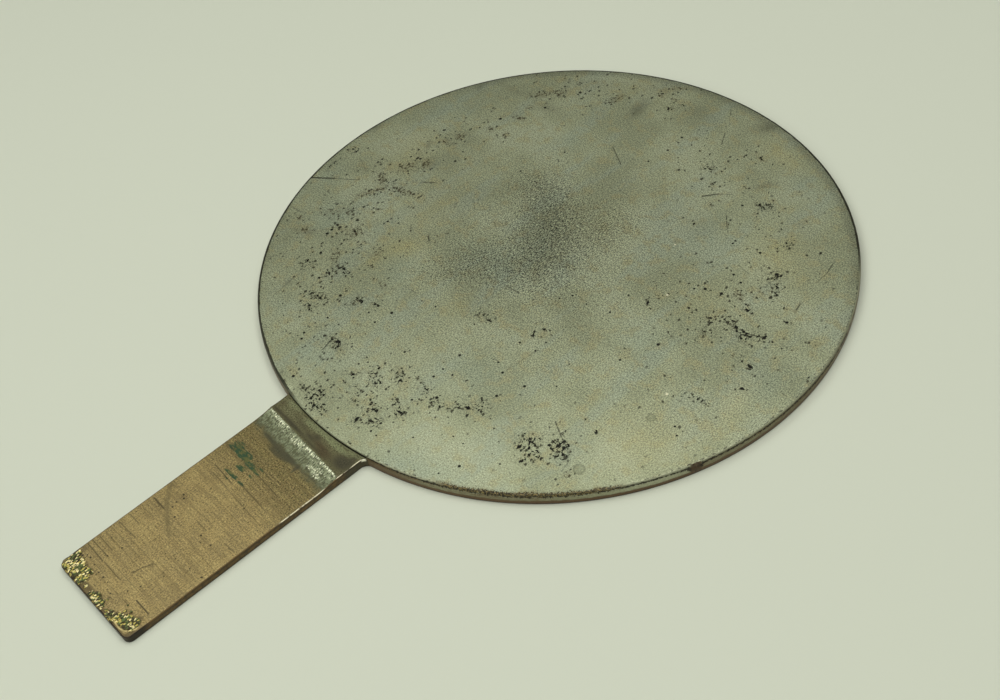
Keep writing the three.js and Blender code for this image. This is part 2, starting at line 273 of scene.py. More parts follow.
HANDLE_STROKES = [
    (-22, -207.2, -11, -207.4, 0.25, 0.8), (-10.6, -207.2, -1, -207.4, 0.22, 0.6),
    (11, -207.9, 18.2, -207.9, 0.3, 1), (-22, -205.2, -11.5, -205.2, 0.22, 0.7),
    (-21, -202.6, -12.5, -202.7, 0.22, 0.55), (-21, -209.9, -7, -210, 0.18, 0.4),
    (-21, -200, 5, -200, 0.18, 0.3), (-21, -194.4, -11, -194.2, 0.25, 0.6),
    (-21, -190, -15, -190, 0.25, 0.6), (-20.5, -180, -13.5, -180.2, 0.35, 0.8),
    (0, -175.2, 5.5, -175.1, 0.22, 0.5), (15, -173.8, 20.5, -173.7, 0.25, 0.5),
    (-16, -156.3, -5, -157, 0.25, 0.8), (-14, -158.9, -5, -159.3, 0.2, 0.6),
    (-3, -154.9, 15, -156.1, 0.2, 0.6), (0, -148.5, 13, -149.3, 0.2, 0.55),
    (0, -151, 5, -151.1, 0.22, 0.5), (7.6, -160.4, 15, -160.7, 0.18, 0.65),
    (-20, -150.2, -14, -150.2, 0.2, 0.4), (-22, -147.7, -16, -147.6, 0.25, 0.5),
    (0, -146, 9, -146.6, 0.2, 0.5), (-5, -159.6, 8, -160.3, 0.15, 0.4), (0, -152.9, 5, -153, 0.2, 0.4),
    (-6, -165, 20, -165.3, 0.15, 0.25), (-15, -182.5, 20, -182.6, 0.15, 0.2),
    (-22, -197.5, 10, -197.6, 0.15, 0.3), (-5, -205.5, 21, -205.4, 0.15, 0.3),
    (-21, -185, 21, -185.1, 0.12, 0.25), (-15, -195.5, 21, -195.4, 0.12, 0.25),
    (2.4, -197, 1.3, -199.4, 0.3, 0.75), (1.3, -199.4, 0.7, -202.4, 0.25, 0.85),
    (14.6, -188.6, 14.2, -190.4, 0.2, 0.5),
]
HANDLE_STREAK = [
    (-20.5, -173.4, -15.5, -178, 1, 0.5), (-15.5, -178, -10.5, -181, 1.1, 0.5),
    (-10.5, -181, -6.5, -183.5, 1.1, 0.5), (-6.5, -183.5, -3, -185.2, 0.9, 0.4),
]
HANDLE_PITS = [
    (-13.8, -171.8, 0.4), (-12.3, -172.8, 0.4), (-13, -175.5, 0.36), (-12.2, -177.7, 0.4),
    (-8, -179.6, 0.4), (5.6, -177.6, 0.4), (11.5, -177.6, 0.36), (7.8, -179.4, 0.28), (20, -187.3, 0.4),
    (14, -188.2, 0.28), (7, -189.3, 0.24), (2.6, -190.4, 0.2), (10, -196, 0.28), (-17, -196, 0.24),
    (-11, -199.8, 0.36), (-17.7, -199.9, 0.24), (7.4, -203.9, 0.32), (5.6, -207.9, 0.32),
    (-5.5, -210.8, 0.4), (-2.6, -210.8, 0.28), (-0.3, -212.4, 0.24), (2, -212.6, 0.28),
    (-18.8, -211.2, 0.4), (-8.4, -210.9, 0.32), (-8.4, -211.9, 0.24), (-12, -205.1, 0.32),
    (-12.2, -210.2, 0.28), (-15.9, -209.6, 0.4), (-17.7, -209.8, 0.28), (7.5, -160.4, 0.32),
    (-13.9, -194.6, 0.24), (-20.5, -187.8, 0.24), (-8.4, -163.6, 0.28), (13.5, -162.9, 0.24),
    (18.9, -162.9, 0.24),
]
NECK_OLIVE = [
    (8, -121, 12, 1.3, -1, 0.9), (-3, -121.2, 5, 1.5, 0, 0.8), (-16, -119.8, 6, 1.5, 4, 0.7),
    (-14, -122.8, 8, 2.2, 0, 0.4), (19.5, -119.6, 3, 0.7, 8, 0.8), (12, -121.6, 5, 1.2, 4, 0.5),
]
NECK_BROWN = [
    (8, -125.4, 7.5, 1.5, -6, 0.8), (9.5, -127.3, 4, 1, -4, 0.7), (-11, -122, 6, 1.6, 0, 0.3),
    (-20, -121.5, 2, 3, 0, 0.4),
]
NECK_DARK = [
    (2.6, -123.5, 2.4, 1.4, 0, 0.65), (18.6, -124.6, 4.6, 3.4, 0, 0.85), (-9, -126, 9, 0.9, -4, 0.8),
    (-19, -125.5, 3.4, 0.7, -3, 0.7), (-6, -123.6, 6, 1.2, -10, 0.4), (20.8, -121.6, 1.6, 2.6, 0, 0.6),
    (4, -127.2, 5, 0.6, -4, 0.6), (0.5, -125.2, 3, 0.8, -10, 0.6),
]
# Painted highlights along the ridge of the neck: x, y, half length, half width, turn in degrees, strength
NECK_HIGHLIGHTS = [
    (-14.5, -127.6, 5, 0.9, -4, 0.85), (-13, -128.1, 1.5, 0.35, 0, 1), (-1, -129.8, 4.2, 1.5, -4, 0.75),
    (-3.6, -130.9, 0.7, 0.7, 0, 0.95), (0.6, -129.2, 1.2, 0.5, 0, 0.9), (6.6, -129.3, 3.8, 0.9, -4, 0.95),
    (13.4, -129.7, 3.4, 0.6, -4, 0.95), (18.8, -129.9, 3.3, 0.55, -6, 1),
    (-19.5, -126.9, 2.4, 0.5, -4, 0.7), (14.5, -134.2, 4.6, 1.2, -8, 0.75),
    (11.6, -133.4, 1.8, 1, 0, 0.7), (-12, -129.5, 2, 0.8, 0, 0.5), (-10, -127.4, 2, 0.5, -4, 0.8),
    (15, -132.4, 3.6, 0.8, 0, 0.5),
]
NECK_SMOKE = [
    (-2.5, -137.3, 6.5, 2, 3, 0.9), (7.5, -137.6, 0.9, 2.4, 0, 0.8), (-12, -135.4, 4.5, 0.9, -4, 0.6),
    (3.5, -136.2, 5, 1, 0, 0.7), (14.5, -136.3, 5.5, 0.6, 0, 0.5), (-20, -133.6, 2.6, 0.9, 0, 0.5),
    (-6, -135.6, 8, 1.2, -4, 0.5),
]
# Crumbling corrosion at the handle's tip: x, y, half length, half width, turn in degrees, strength
TIP_CRUMBS = [
    (-17.3, -214.9, 5.2, 3.4, -8, 1), (-12, -215.8, 3.2, 2.8, 0, 1), (-21, -212.4, 1.2, 2, 0, 1),
    (-15.5, -218, 6, 0.9, 0, 1), (0.6, -218.2, 4.4, 0.7, 0, 1), (9.5, -218.1, 2.6, 0.7, 0, 1),
    (-11, -212.7, 1.8, 0.7, 0, 0.7), (-7, -217, 0.8, 1, 0, 1), (-1, -217, 2.8, 1.3, 0, 1),
    (-0.6, -215.6, 1.6, 0.7, 0, 0.9), (2.6, -216.7, 1.5, 1.2, 0, 1), (3.3, -214.7, 0.4, 0.4, 0, 0.9),
    (4.4, -217.1, 0.5, 0.4, 0, 0.8), (6.6, -217, 0.6, 0.5, 0, 0.9), (8.5, -216.5, 1.2, 1, 0, 1),
    (12, -216, 2.4, 1.5, 0, 1), (15.8, -214.6, 3.8, 2.7, 0, 1), (10.4, -211, 0.5, 0.5, 0, 0.9),
    (13.4, -211.4, 0.7, 0.4, 0, 0.8), (18.2, -212.4, 1.6, 1.3, -30, 1), (11.7, -212.8, 0.5, 1, 0, 0.7),
]
TIP_SHADE = [
    (-6, -216.8, 3.6, 1.3, 0, 0.8), (17.8, -210.8, 1.8, 1, 20, 0.6), (8.8, -210.8, 1.8, 0.4, 0, 0.6),
    (3, -213.9, 0.9, 0.6, 0, 0.6), (0, -215.6, 4, 1, 0, 0.5), (-10.6, -211.8, 2, 0.5, 0, 0.5),
    (20.8, -216.6, 1.4, 2.4, 0, 0.8), (7, -217.4, 3, 1, 0, 0.6), (-5, -218.5, 18, 0.7, 0, 0.9),
    (16, -218.5, 6, 0.6, 0, 0.9), (21.2, -217.6, 1.6, 2.2, 0, 0.9),
]
TIP_WORN_EDGE = [
    (9.5, -217.8, 13, -217.6, 0.3, 1), (13, -217.6, 16, -217.8, 0.3, 1), (16, -217.8, 18.2, -217, 0.3, 1),
    (18.2, -217, 19.7, -215.6, 0.3, 1), (19.7, -215.6, 20.3, -214, 0.3, 1),
    (20.3, -214, 20.2, -212.8, 0.28, 0.8),
]

# The near edge of the disc: degrees round it, how much crust there is, the height of the crust's
# middle, half its height, and how pale the wall is below it
NEAR_EDGE = [
    (-92, 0.2, 4.5, 0.4, 0), (-84, 0.45, 4.5, 0.45, 0), (-76, 0.6, 4.3, 0.6, 0.02),
    (-70, 0.75, 4.2, 0.65, 0.3), (-64, 0.85, 4.2, 0.75, 0.55), (-60, 1, 4.4, 1, 0.45),
    (-54, 1, 4.3, 1.1, 0.4), (-48, 1, 4.2, 1.1, 0.45), (-42, 1, 4.3, 0.9, 0.6),
    (-36, 0.9, 4.15, 0.7, 0.75), (-30, 0.7, 4.2, 0.55, 0.95), (-25, 0.6, 4.2, 0.45, 1),
    (-22.2, 0.7, 4, 0.8, 0.8), (-21.2, 0.9, 2.9, 2.4, 0), (-19.9, 0.9, 2.9, 2.4, 0),
    (-19, 0.9, 4.1, 0.7, 0.45), (-12, 0.8, 4, 0.6, 0.45), (-4, 0.9, 3.9, 0.65, 0.35),
    (4, 0.9, 3.8, 0.7, 0.25), (12, 0.7, 3.4, 0.7, 0.3), (20, 0.6, 3.2, 0.7, 0.3),
    (30, 0.4, 3.5, 0.5, 0.3), (40, 0.2, 4, 0.5, 0.3),
]


def patches(x, y, places, hardness=2.0):
    """How much of any of the named patches covers each point, 0 to 1."""
    clear = np.ones_like(x)
    for px, py, long_half, short_half, turn, strength in places:
        c, s = math.cos(math.radians(turn)), math.sin(math.radians(turn))
        u = ((x - px) * c + (y - py) * s) / long_half
        v = (-(x - px) * s + (y - py) * c) / short_half
        clear *= 1 - strength * np.exp(-((u * u + v * v) ** (hardness / 2)))
    return 1 - clear


def round_pits(x, y, pits):
    """1 in the middle of a round pit, falling to 0 just past its edge."""
    deep = np.zeros_like(x)
    for px, py, radius in pits:
        d = np.hypot(x - px, y - py) / radius
        deep = np.maximum(deep, 1 - smooth(0.8, 1.05, d))
    return deep


def lines(x, y, scratches):
    """1 on a scratch, falling to 0 past its half width."""
    cut = np.zeros_like(x)
    for x1, y1, x2, y2, half, strength in scratches:
        length2 = (x2 - x1) ** 2 + (y2 - y1) ** 2
        t = np.clip(((x - x1) * (x2 - x1) + (y - y1) * (y2 - y1)) / length2, 0, 1)
        d = np.hypot(x - x1 - t * (x2 - x1), y - y1 - t * (y2 - y1))
        cut = np.maximum(cut, strength * (1 - smooth(0.4 * half, 1.2 * half, d)))
    return cut


def tapered(x, y):
    """The handle narrows evenly from the disc to its tip, and leans a little to one side."""
    along = np.clip((-DISC_RADIUS - y) / HANDLE_REACH, 0, 1)
    return x * mixed(1, TIP_WIDTH / NECK_WIDTH, along) + math.tan(HANDLE_LEAN) * (y - LEAN_PIVOT_Y)


def neck_top(x, y):
    """Height of the handle's upper side: the flat bar, the ramp, the ridge and the dished neck."""
    y = y + math.tan(RIDGE_SLANT) * x
    dish = np.clip((-DISC_RADIUS - y) / RIDGE_FROM_DISC, 0, 1)
    high = NECK_HEIGHT - 4 * NECK_DISH * dish * (1 - dish)
    along = np.clip((RIDGE_Y - y) / RAMP_LENGTH, 0, 1)
    pull = 1 / 3
    t = np.where(along <= 0, 0, (-pull + np.sqrt(pull**2 + (1 - 2 * pull) * along)) / (1 - 2 * pull))
    ramp = HANDLE_THICKNESS + (NECK_HEIGHT - HANDLE_THICKNESS) * (1 - t) ** 2
    return np.where(y > RIDGE_Y, high, ramp)


def top_height(x, y):
    """Height of the upper side before it was worn: the domed face, its step down and the handle."""
    r = np.hypot(x, y)
    face = RIM_HEIGHT + FACE_CROWN * (1 - (r / FACE_RADIUS) ** 2)
    neck = neck_top(x, y)
    groove = GROOVE_DEPTH * (1 - smooth(0.0, GROOVE_WIDTH, np.abs(r - STEP_FOOT_RADIUS - 0.1)))
    low = neck - groove
    arris = mixed(RIM_HEIGHT, RIM_HEIGHT - ARRIS_DROP, (r - FACE_RADIUS) / ARRIS_WIDTH)
    step = mixed(
        RIM_HEIGHT - ARRIS_DROP, low, (r - WALL_TOP_RADIUS) / (STEP_FOOT_RADIUS - WALL_TOP_RADIUS)
    )
    z = np.where(r <= FACE_RADIUS, face, np.where(r <= WALL_TOP_RADIUS, arris, step))
    return np.where(r >= STEP_FOOT_RADIUS, low, z)


def back_height(x, y):
    """Height of the underside: the rim it lies on and the sunken field inside it."""
    r = np.hypot(x, y)
    inner = DISC_RADIUS - BACK_RIM_WIDTH
    return BACK_RECESS * (1 - np.clip((r - inner + BACK_STEP_RUN) / BACK_STEP_RUN, 0, 1))


def arc(centre, radius, start, end, spacing):
    """Points on an arc from angle start to angle end, without the last one."""
    count = max(2, math.ceil(abs(end - start) * radius / spacing))
    angles = np.linspace(start, end, count, endpoint=False)
    return np.c_[centre[0] + radius * np.cos(angles), centre[1] + radius * np.sin(angles)]


def line(start, end, spacing):
    """Points on a straight line, without the last one."""
    start, end = np.array(start, float), np.array(end, float)
    count = max(1, math.ceil(np.linalg.norm(end - start) / spacing))
    return start + np.linspace(0, 1, count, endpoint=False)[:, None] * (end - start)


def plan_outline():
    """The casting's outline seen from above, anticlockwise, and how much each point belongs to the
    handle rather than the disc."""

    def corner(radius):
        x = NECK_HALF + radius
        y = -math.sqrt((DISC_RADIUS + radius) ** 2 - x * x)
        return x, y, math.atan2(-y, -x)

    right_x, right_y, right_turn = corner(FILLET_RIGHT)
    left_x, left_y, left_turn = corner(FILLET_LEFT)
    disc_start = math.atan2(right_y, right_x)
    disc_end = 2 * math.pi + math.atan2(left_y, -left_x)
    worn_end = math.radians(WORN_RIM_TO)
    whole = (0, 0)
    r = TIP_CORNER_RADIUS
    tip_in = NECK_HALF - r
    parts = [
        (arc(whole, DISC_RADIUS, disc_start, worn_end, WORN_RIM_SPACING), 0),
        (arc(whole, DISC_RADIUS, worn_end, disc_end, RIM_SPACING), 0),
        (arc((-left_x, left_y), FILLET_LEFT, math.pi - left_turn, 0, 0.12), None),
        (line((-NECK_HALF, left_y), (-NECK_HALF, TIP_Y + r), SIDE_SPACING), 1),
        (arc((-tip_in, TIP_Y + r), r, math.pi, 1.5 * math.pi, 0.45), 1),
        (line((-tip_in, TIP_Y), (tip_in, TIP_Y), 0.6), 1),
        (arc((tip_in, TIP_Y + r), r, 1.5 * math.pi, 2 * math.pi, 0.45), 1),
        (line((NECK_HALF, TIP_Y + r), (NECK_HALF, right_y), SIDE_SPACING), 1),
        (arc((right_x, right_y), FILLET_RIGHT, math.pi, right_turn, 0.25), None),
    ]
    points = np.concatenate([p for p, _ in parts])
    share = np.concatenate([np.full(len(p), 1.0 if s is None else s) for p, s in parts])
    for i in (2, 8):
        first = sum(len(p) for p, _ in parts[:i])
        count = len(parts[i][0])
        from_disc = np.arange(count) if i == 2 else count - np.arange(count)
        run = 0.12 if i == 2 else 0.25
        reach = 0.7 if i == 2 else 1.8
        share[first : first + count] = smooth(0, reach, from_disc * run)
    leaning = share > 0
    points[leaning, 0] = mixed(points[:, 0], tapered(points[:, 0], points[:, 1]), share)[leaning]
    return points, share


def wall_levels(points, share):
    """Distance in from the outline and height of each level of the side wall, from the edge of the
    upper side down to the edge of the underside. One row for each point of the outline."""
    wall_z = np.array([4.75, 4.5, 4.2, 3.9, 3.5, 3.0, 2.0, 1.0])
    t = (wall_z - FOOT_EASE) / (RIM_HEIGHT - ARRIS_DROP - FOOT_EASE)
    belly = WALL_BULGE * ((1 - t) ** 2 / 2 - math.sqrt(2) * t * (1 - t) + t * t)
    belly = np.maximum(belly, SKIN)
    disc_in = np.r_[0.65, 0.5, 0.36, 0.25, belly, 0.125, 0.18, FOOT_EASE]
    disc_z = np.r_[RIM_HEIGHT, 5.215, 5.11, RIM_HEIGHT - ARRIS_DROP, wall_z, FOOT_EASE, 0.09, 0]
    top = neck_top(points[:, 0], points[:, 1])[:, None]
    e = HANDLE_EASE
    flat_levels = len(wall_z) + 1
    handle_in = np.r_[e, 0.22, 0.08, [SKIN] * (flat_levels + 1), 0.12, e]
    down = np.r_[0, 0.045, 0.16, e]
    steps = np.arange(1, flat_levels + 1) / flat_levels
    handle_z = np.concatenate(
        [top - down, (top - e) + (e - (top - e)) * steps, np.tile([0.12, 0.0], (len(top), 1))], axis=1
    )
    w = share[:, None]
    return mixed(disc_in[None], handle_in[None], w), mixed(disc_z[None], handle_z, w)


def outward(points):
    """Unit normals of a closed anticlockwise outline."""
    along = np.roll(points, -1, 0) - np.roll(points, 1, 0)
    out = np.c_[along[:, 1], -along[:, 0]]
    return out / np.linalg.norm(out, axis=1)[:, None]


def staggered(x0, x1, y0, y1, step_x, step_y):
    """Rows of points, each row shifted by half a step, a little uneven so that no lines show."""
    ys = np.arange(y0, y1, step_y)
    xs = np.arange(x0, x1, step_x)
    grid_x, grid_y = np.meshgrid(xs, ys)
    grid_x = grid_x + (np.arange(len(ys)) % 2)[:, None] * step_x / 2
    points = np.c_[grid_x.ravel(), grid_y.ravel()]
    return points + rng.uniform(-0.16, 0.16, points.shape) * [step_x, step_y]


def face_points():
    """Points for the face: coarse where it is plain, fine in the beds of pits and along the rim."""
    reach = FACE_RADIUS
    plain = staggered(-reach, reach, -reach, reach, FACE_SPACING, FACE_SPACING * 0.87)
    middle = staggered(-reach, reach, -reach, reach, 1.1, 0.95)
    fine = staggered(-reach, reach, -reach, reach, FINE_SPACING, FINE_SPACING * 0.87)

    def near(points):
        beds = BLACK_BEDS + BROWN_BEDS
        wide = [(x, y, 1.25 * a + 0.5, 1.25 * b + 0.5, t, 1) for x, y, a, b, t, _ in beds]
        close = patches(points[:, 0], points[:, 1], wide, 4.0)
        r = np.hypot(points[:, 0], points[:, 1])
        turn = np.degrees(np.arctan2(points[:, 1], points[:, 0]))
        worn = (turn > WORN_RIM_FROM - 14) & (turn < WORN_RIM_TO + 6)
        return np.maximum(close, np.where(worn, smooth(reach - 4.0, reach - 1.6, r), 0))

    kept = [
        plain[near(plain) < 0.12],
        middle[(near(middle) >= 0.12) & (near(middle) < 0.45)],
        fine[near(fine) >= 0.45],
    ]
    points = np.concatenate(kept)
    return points[np.hypot(points[:, 0], points[:, 1]) < reach - 0.3]


def mark_points(pits, scratches):
    """Points that give each single pit and scratch its own shape."""
    rings = [np.zeros((1, 2))]
    for radius, count, turn in ((0.8, 8, 0.0), (1.05, 8, 0.4), (1.5, 8, 0.8)):
        angles = np.linspace(0, 2 * math.pi, count, endpoint=False) + turn
        rings.append(radius * np.c_[np.cos(angles), np.sin(angles)])
    pattern = np.concatenate(rings)
    found = [np.array([x, y]) + radius * pattern for x, y, radius in pits]
    for x1, y1, x2, y2, half, _ in scratches:
        a, b = np.array([x1, y1]), np.array([x2, y2])
        along = (b - a) / np.linalg.norm(b - a)
        side = np.array([-along[1], along[0]])
        for offset in (-1.2, -0.5, 0.5, 1.2):
            found.append(line(a, b, 0.55) + side * half * offset)
    return np.concatenate(found)


def handle_points():
    """Rows across the handle for the file marks, and a fine net on the neck and at the tip."""
    neck_end, tip_start = RAMP_FOOT_Y - 2.5, TIP_Y + 10.5
    neck = staggered(-26, 26, neck_end, -112, 0.5, 0.43)
    bar = staggered(-23, 23, tip_start, neck_end, 0.95, 0.42)
    tip = staggered(-23, 23, TIP_Y, tip_start, 0.42, 0.36)
    points = np.concatenate([neck, bar, tip])
    return points[np.hypot(points[:, 0], points[:, 1]) > DISC_RADIUS + 0.45]


def thinned(points, spare, gap):
    """Leaves out the points that lie closer than gap to any of the spare ones."""
    cell = {}
    for p in spare:
        cell.setdefault((int(p[0] // gap), int(p[1] // gap)), []).append(p)
    keep = np.ones(len(points), bool)
    for i, p in enumerate(points):
        cx, cy = int(p[0] // gap), int(p[1] // gap)
        for key in ((cx + dx, cy + dy) for dx in (-1, 0, 1) for dy in (-1, 0, 1)):
            if any((p[0] - q[0]) ** 2 + (p[1] - q[1]) ** 2 < gap * gap for q in cell.get(key, ())):
                keep[i] = False
                break
    return points[keep]


def inside(points, loop):
    """Which points lie inside a closed outline."""
    x, y = points[:, 0], points[:, 1]
    crossed = np.zeros(len(points), bool)
    for (x1, y1), (x2, y2) in zip(loop, np.roll(loop, -1, 0)):
        if y1 == y2:
            continue
        spans = (y1 > y) != (y2 > y)
        crossed ^= spans & (x < (x2 - x1) * (y - y1) / (y2 - y1) + x1)
    return crossed


def sheet(loop, points, arcs):
    """Triangles over a closed loop, through the given points and along the given arcs. Returns the
    inner points and the triangles, whose first corners number the loop."""
    n = len(loop)
    edges = [(i, (i + 1) % n) for i in range(n)]
    guides, start = [], n
    for a in arcs:
        whole = np.linalg.norm(a[0] - a[-1]) < 5.0 and len(a) > 200
        gap = np.linalg.norm(a[:, None] - loop[None], axis=2).min(1)
        a = a[inside(a, loop) & (gap > 0.14)]
        edges += [(start + i, start + i + 1) for i in range(len(a) - 1)]
        edges += [(start + len(a) - 1, start)] if whole else []
        guides.append(a)
        start += len(a)
    points = thinned(points[inside(points, loop)], np.concatenate([loop] + guides), 0.2)
    flat = np.concatenate([loop] + guides + [points])
    _, _, faces, origins, _, _ = geometry.delaunay_2d_cdt(
        [Vector(p) for p in flat], edges, [], 1, 1e-6, True
    )
    place = [o[0] for o in origins]
    triangles = np.array([[place[i] for i in f] for f in faces])
    corners = flat[triangles]
    a, b = corners[:, 1] - corners[:, 0], corners[:, 2] - corners[:, 0]
    backwards = a[:, 0] * b[:, 1] - a[:, 1] * b[:, 0] < 0
    triangles[backwards] = triangles[backwards][:, ::-1]
    return flat[n:], triangles[inside(corners.mean(1), loop)]


def step_arcs():
    """Arcs across the root of the handle, where the disc's edge steps down to the neck."""
    half = math.asin((NECK_HALF + FILLET_RIGHT) / DISC_RADIUS)
    foot = STEP_FOOT_RADIUS
    radii = (FACE_RADIUS, WALL_TOP_RADIUS, foot, foot + 0.16, foot + 0.5)
    return [arc((0, 0), r, -math.pi / 2 - half, -math.pi / 2 + half, 0.45) for r in radii]


def back_arcs():
    """Circles at the foot and the head of the step round the sunken field of the back."""
    inner = DISC_RADIUS - BACK_RIM_WIDTH
    return [arc((0, 0), r, 0, 2 * math.pi, 2.2) for r in (inner, inner - BACK_STEP_RUN)]


def casting_mesh():
    """The whole casting as one closed mesh, with the masks of its wear and of its painted highlights kept
    at its points.
    """
    outline, share = plan_outline()
    normal = outward(outline)
    inset, height = wall_levels(outline, share)
    levels = inset.shape[1]
    n = len(outline)
    rows = [np.c_[outline - normal * inset[:, k : k + 1], height[:, k]] for k in range(levels)]
    walls = np.concatenate(rows)

    top_loop, back_loop = rows[0][:, :2], rows[-1][:, :2]
    singles = mark_points(ROUND_PITS, SCRATCHES)
    on_handle = mark_points(HANDLE_PITS, HANDLE_STROKES + TIP_WORN_EDGE)
    singles = singles[np.hypot(singles[:, 0], singles[:, 1]) < FACE_RADIUS - 0.35]
    spread = np.concatenate([face_points(), handle_points()])
    marks = np.concatenate([singles, on_handle])
    spread = thinned(spread, marks, 0.3)
    top_inner, top_faces = sheet(top_loop, np.concatenate([marks, spread]), step_arcs())
    reach = DISC_RADIUS
    back_spread = staggered(-reach, reach, TIP_Y, reach, BACK_SPACING, BACK_SPACING * 0.87)
    back_inner, back_faces = sheet(back_loop, back_spread, back_arcs())

    top_start = len(walls)
    back_start = top_start + len(top_inner)
    verts = np.concatenate(
        [
            walls,
            np.c_[top_inner, top_height(top_inner[:, 0], top_inner[:, 1])],
            np.c_[back_inner, back_height(back_inner[:, 0], back_inner[:, 1])],
        ]
    )
    i = np.arange(n)
    j = (i + 1) % n
    faces, finish = [], []
    for k in range(levels - 1):
        upper, lower = k * n, (k + 1) * n
        faces += np.c_[upper + i, lower + i, lower + j, upper + j].tolist()
        finish += [2 if s < 0.5 else 3 for s in share]
    top_index = np.where(top_faces < n, top_faces, top_faces - n + top_start)
    middle = verts[top_index].mean(1)
    on_face = np.hypot(middle[:, 0], middle[:, 1]) < WALL_TOP_RADIUS - 0.05
    faces += top_index.tolist()
    finish += np.where(on_face, 0, 1).tolist()
    last = (levels - 1) * n
    back_index = np.where(back_faces < n, back_faces + last, back_faces - n + back_start)
    faces += back_index[:, ::-1].tolist()
    finish += [4] * len(back_index)

    mesh = bpy.data.meshes.new("plain_casting")
    moved = (verts + [0, DISC_CENTRE_Y, 0]) * MM
    mesh.from_pydata(moved.tolist(), [], faces)
    mesh.update()
    finish_layer = mesh.attributes.new("finish", "INT", "FACE")
    finish_layer.data.foreach_set("value", np.array(finish, np.int32))
    mesh.shade_smooth()

    x, y = verts[:, 0], verts[:, 1]
    r = np.hypot(x, y)
    turn = np.degrees(np.arctan2(y, x))
    upper = np.zeros(len(verts), bool)
    upper[:n] = True
    upper[top_start:back_start] = True
    under = np.zeros(len(verts), bool)
    under[last : last + n] = True
    under[back_start:] = True
    face = upper & (r < FACE_RADIUS + 0.05)
    handle = upper & (r >= STEP_FOOT_RADIUS - 0.01)
    slanted = y + math.tan(RIDGE_SLANT) * x
    bar = handle * (1 - smooth(RAMP_FOOT_Y - 2, RAMP_FOOT_Y + 3, slanted))
    level = np.zeros(len(verts))
    level[: len(walls)] = np.repeat(np.arange(levels), n)
    on_wall = np.zeros(len(verts))
    on_wall[: len(walls)] = np.tile(1 - share, levels)
    wall_top = (level > 0) & (level < 9)
    edge = np.array(NEAR_EDGE)
    crust, crust_height, crust_half, wall_pale = (
        np.interp(turn, edge[:, 0], edge[:, k]) for k in (1, 2, 3, 4)
    )
    beds = BLACK_BEDS + BROWN_BEDS
    wide_beds = [(px, py, 2 * a + 1.5, 2 * b + 1.5, t, 0.5 * s) for px, py, a, b, t, s in beds]
    strewn = patches(x, y, SPECKLED) * 0.55 + patches(x, y, wide_beds) * 0.9
    masks = {
        "on_face": face,
        "on_handle": handle,
        "on_back": under,
        "black_bed": face * patches(x, y, BLACK_BEDS, 2.6),
        "brown_bed": face * patches(x, y, BROWN_BEDS, 2.6),
        "speckle": face * np.clip(strewn, 0, 1),
        "round_pit": face * round_pits(x, y, ROUND_PITS) + handle * round_pits(x, y, HANDLE_PITS),
        "scratch": face * lines(x, y, SCRATCHES) + handle * lines(x, y, HANDLE_STROKES),
        "bloom": face * patches(x, y, DARK_BLOOM),
        "dark_patch": face * patches(x, y, DARK_PATCHES) + handle * patches(x, y, HANDLE_SMEARS),
        "streak": handle * lines(x, y, HANDLE_STREAK),
        "pale_and_glare_patch": face * patches(x, y, PALE_AND_GLARE_PATCHES),
        "warm_patch": face * patches(x, y, WARM_PATCHES),
        "cool_patch": face * patches(x, y, COOL_PATCHES),
        "orange": face * round_pits(x, y, ORANGE_DOTS),
        "filed": bar,
        "crumbs": (handle | (on_wall < 1)) * (y < TIP_Y + 12) * patches(x, y, TIP_CRUMBS, 3.0),
        "tip_shade": handle * patches(x, y, TIP_SHADE),
        "tip_edge": handle * lines(x, y, TIP_WORN_EDGE),
        "verdigris": handle * patches(x, y, VERDIGRIS),
        "neck_olive": handle * patches(x, y, NECK_OLIVE, 2.6),
        "neck_brown": handle * patches(x, y, NECK_BROWN),
        "neck_dark": handle * patches(x, y, NECK_DARK, 2.6),
        "neck_highlight": handle * patches(x, y, NECK_HIGHLIGHTS, 2.6),
        "neck_smoke": handle * patches(x, y, NECK_SMOKE, 2.6),
        "wall_top": on_wall * wall_top,
        "crust": crust,
        "crust_height": crust_height,
        "crust_half": crust_half,
        "wall_pale": wall_pale,
    }
    for name, values in masks.items():
        layer = mesh.attributes.new(name, "FLOAT", "POINT")
        layer.data.foreach_set("value", np.asarray(values, np.float32))
    return mesh


class Field:
    """A number that nodes work out at each place. The usual signs add the nodes for them."""

    def __init__(self, tree, socket):
        self.tree, self.socket = tree, socket

    def __add__(self, other):
        return worked(self.tree, "ADD", self, other)

    def __sub__(self, other):
        return worked(self.tree, "SUBTRACT", self, other)

    def __rsub__(self, other):
        return worked(self.tree, "SUBTRACT", other, self)

    def __mul__(self, other):
        return worked(self.tree, "MULTIPLY", self, other)

    def __truediv__(self, other):
        return worked(self.tree, "DIVIDE", self, other)

    def __neg__(self):
        return self * -1.0

    __radd__, __rmul__ = __add__, __mul__


def plug(tree, socket, value):
    """Gives an input a field, another node's output or a plain value."""
    if isinstance(value, Field):
        value = value.socket
    if isinstance(value, bpy.types.NodeSocket):
        tree.links.new(value, socket)
    else:
        socket.default_value = value


def worked(tree, operation, *values):
    """One node of arithmetic."""
    node = tree.nodes.new("ShaderNodeMath")
    node.operation = operation
    for socket, value in zip(node.inputs, values):
        plug(tree, socket, value)
    return Field(tree, node.outputs[0])


def larger(a, b):
    return worked(a.tree, "MAXIMUM", a, b)


def ramped(field, low, high, to_low=0.0, to_high=1.0):
    """An even curve from to_low to to_high while the field goes from low to high."""
    node = field.tree.nodes.new("ShaderNodeMapRange")
    node.interpolation_type = "SMOOTHSTEP"
    for socket, value in zip(node.inputs, (field, low, high, to_low, to_high)):
        plug(field.tree, socket, value)
    return Field(field.tree, node.outputs[0])


def between(field, low, high, edge):
    """1 between low and high, with soft edges."""
    return ramped(field, low - edge, low + edge) * ramped(field, high - edge, high + edge, 1.0, 0.0)


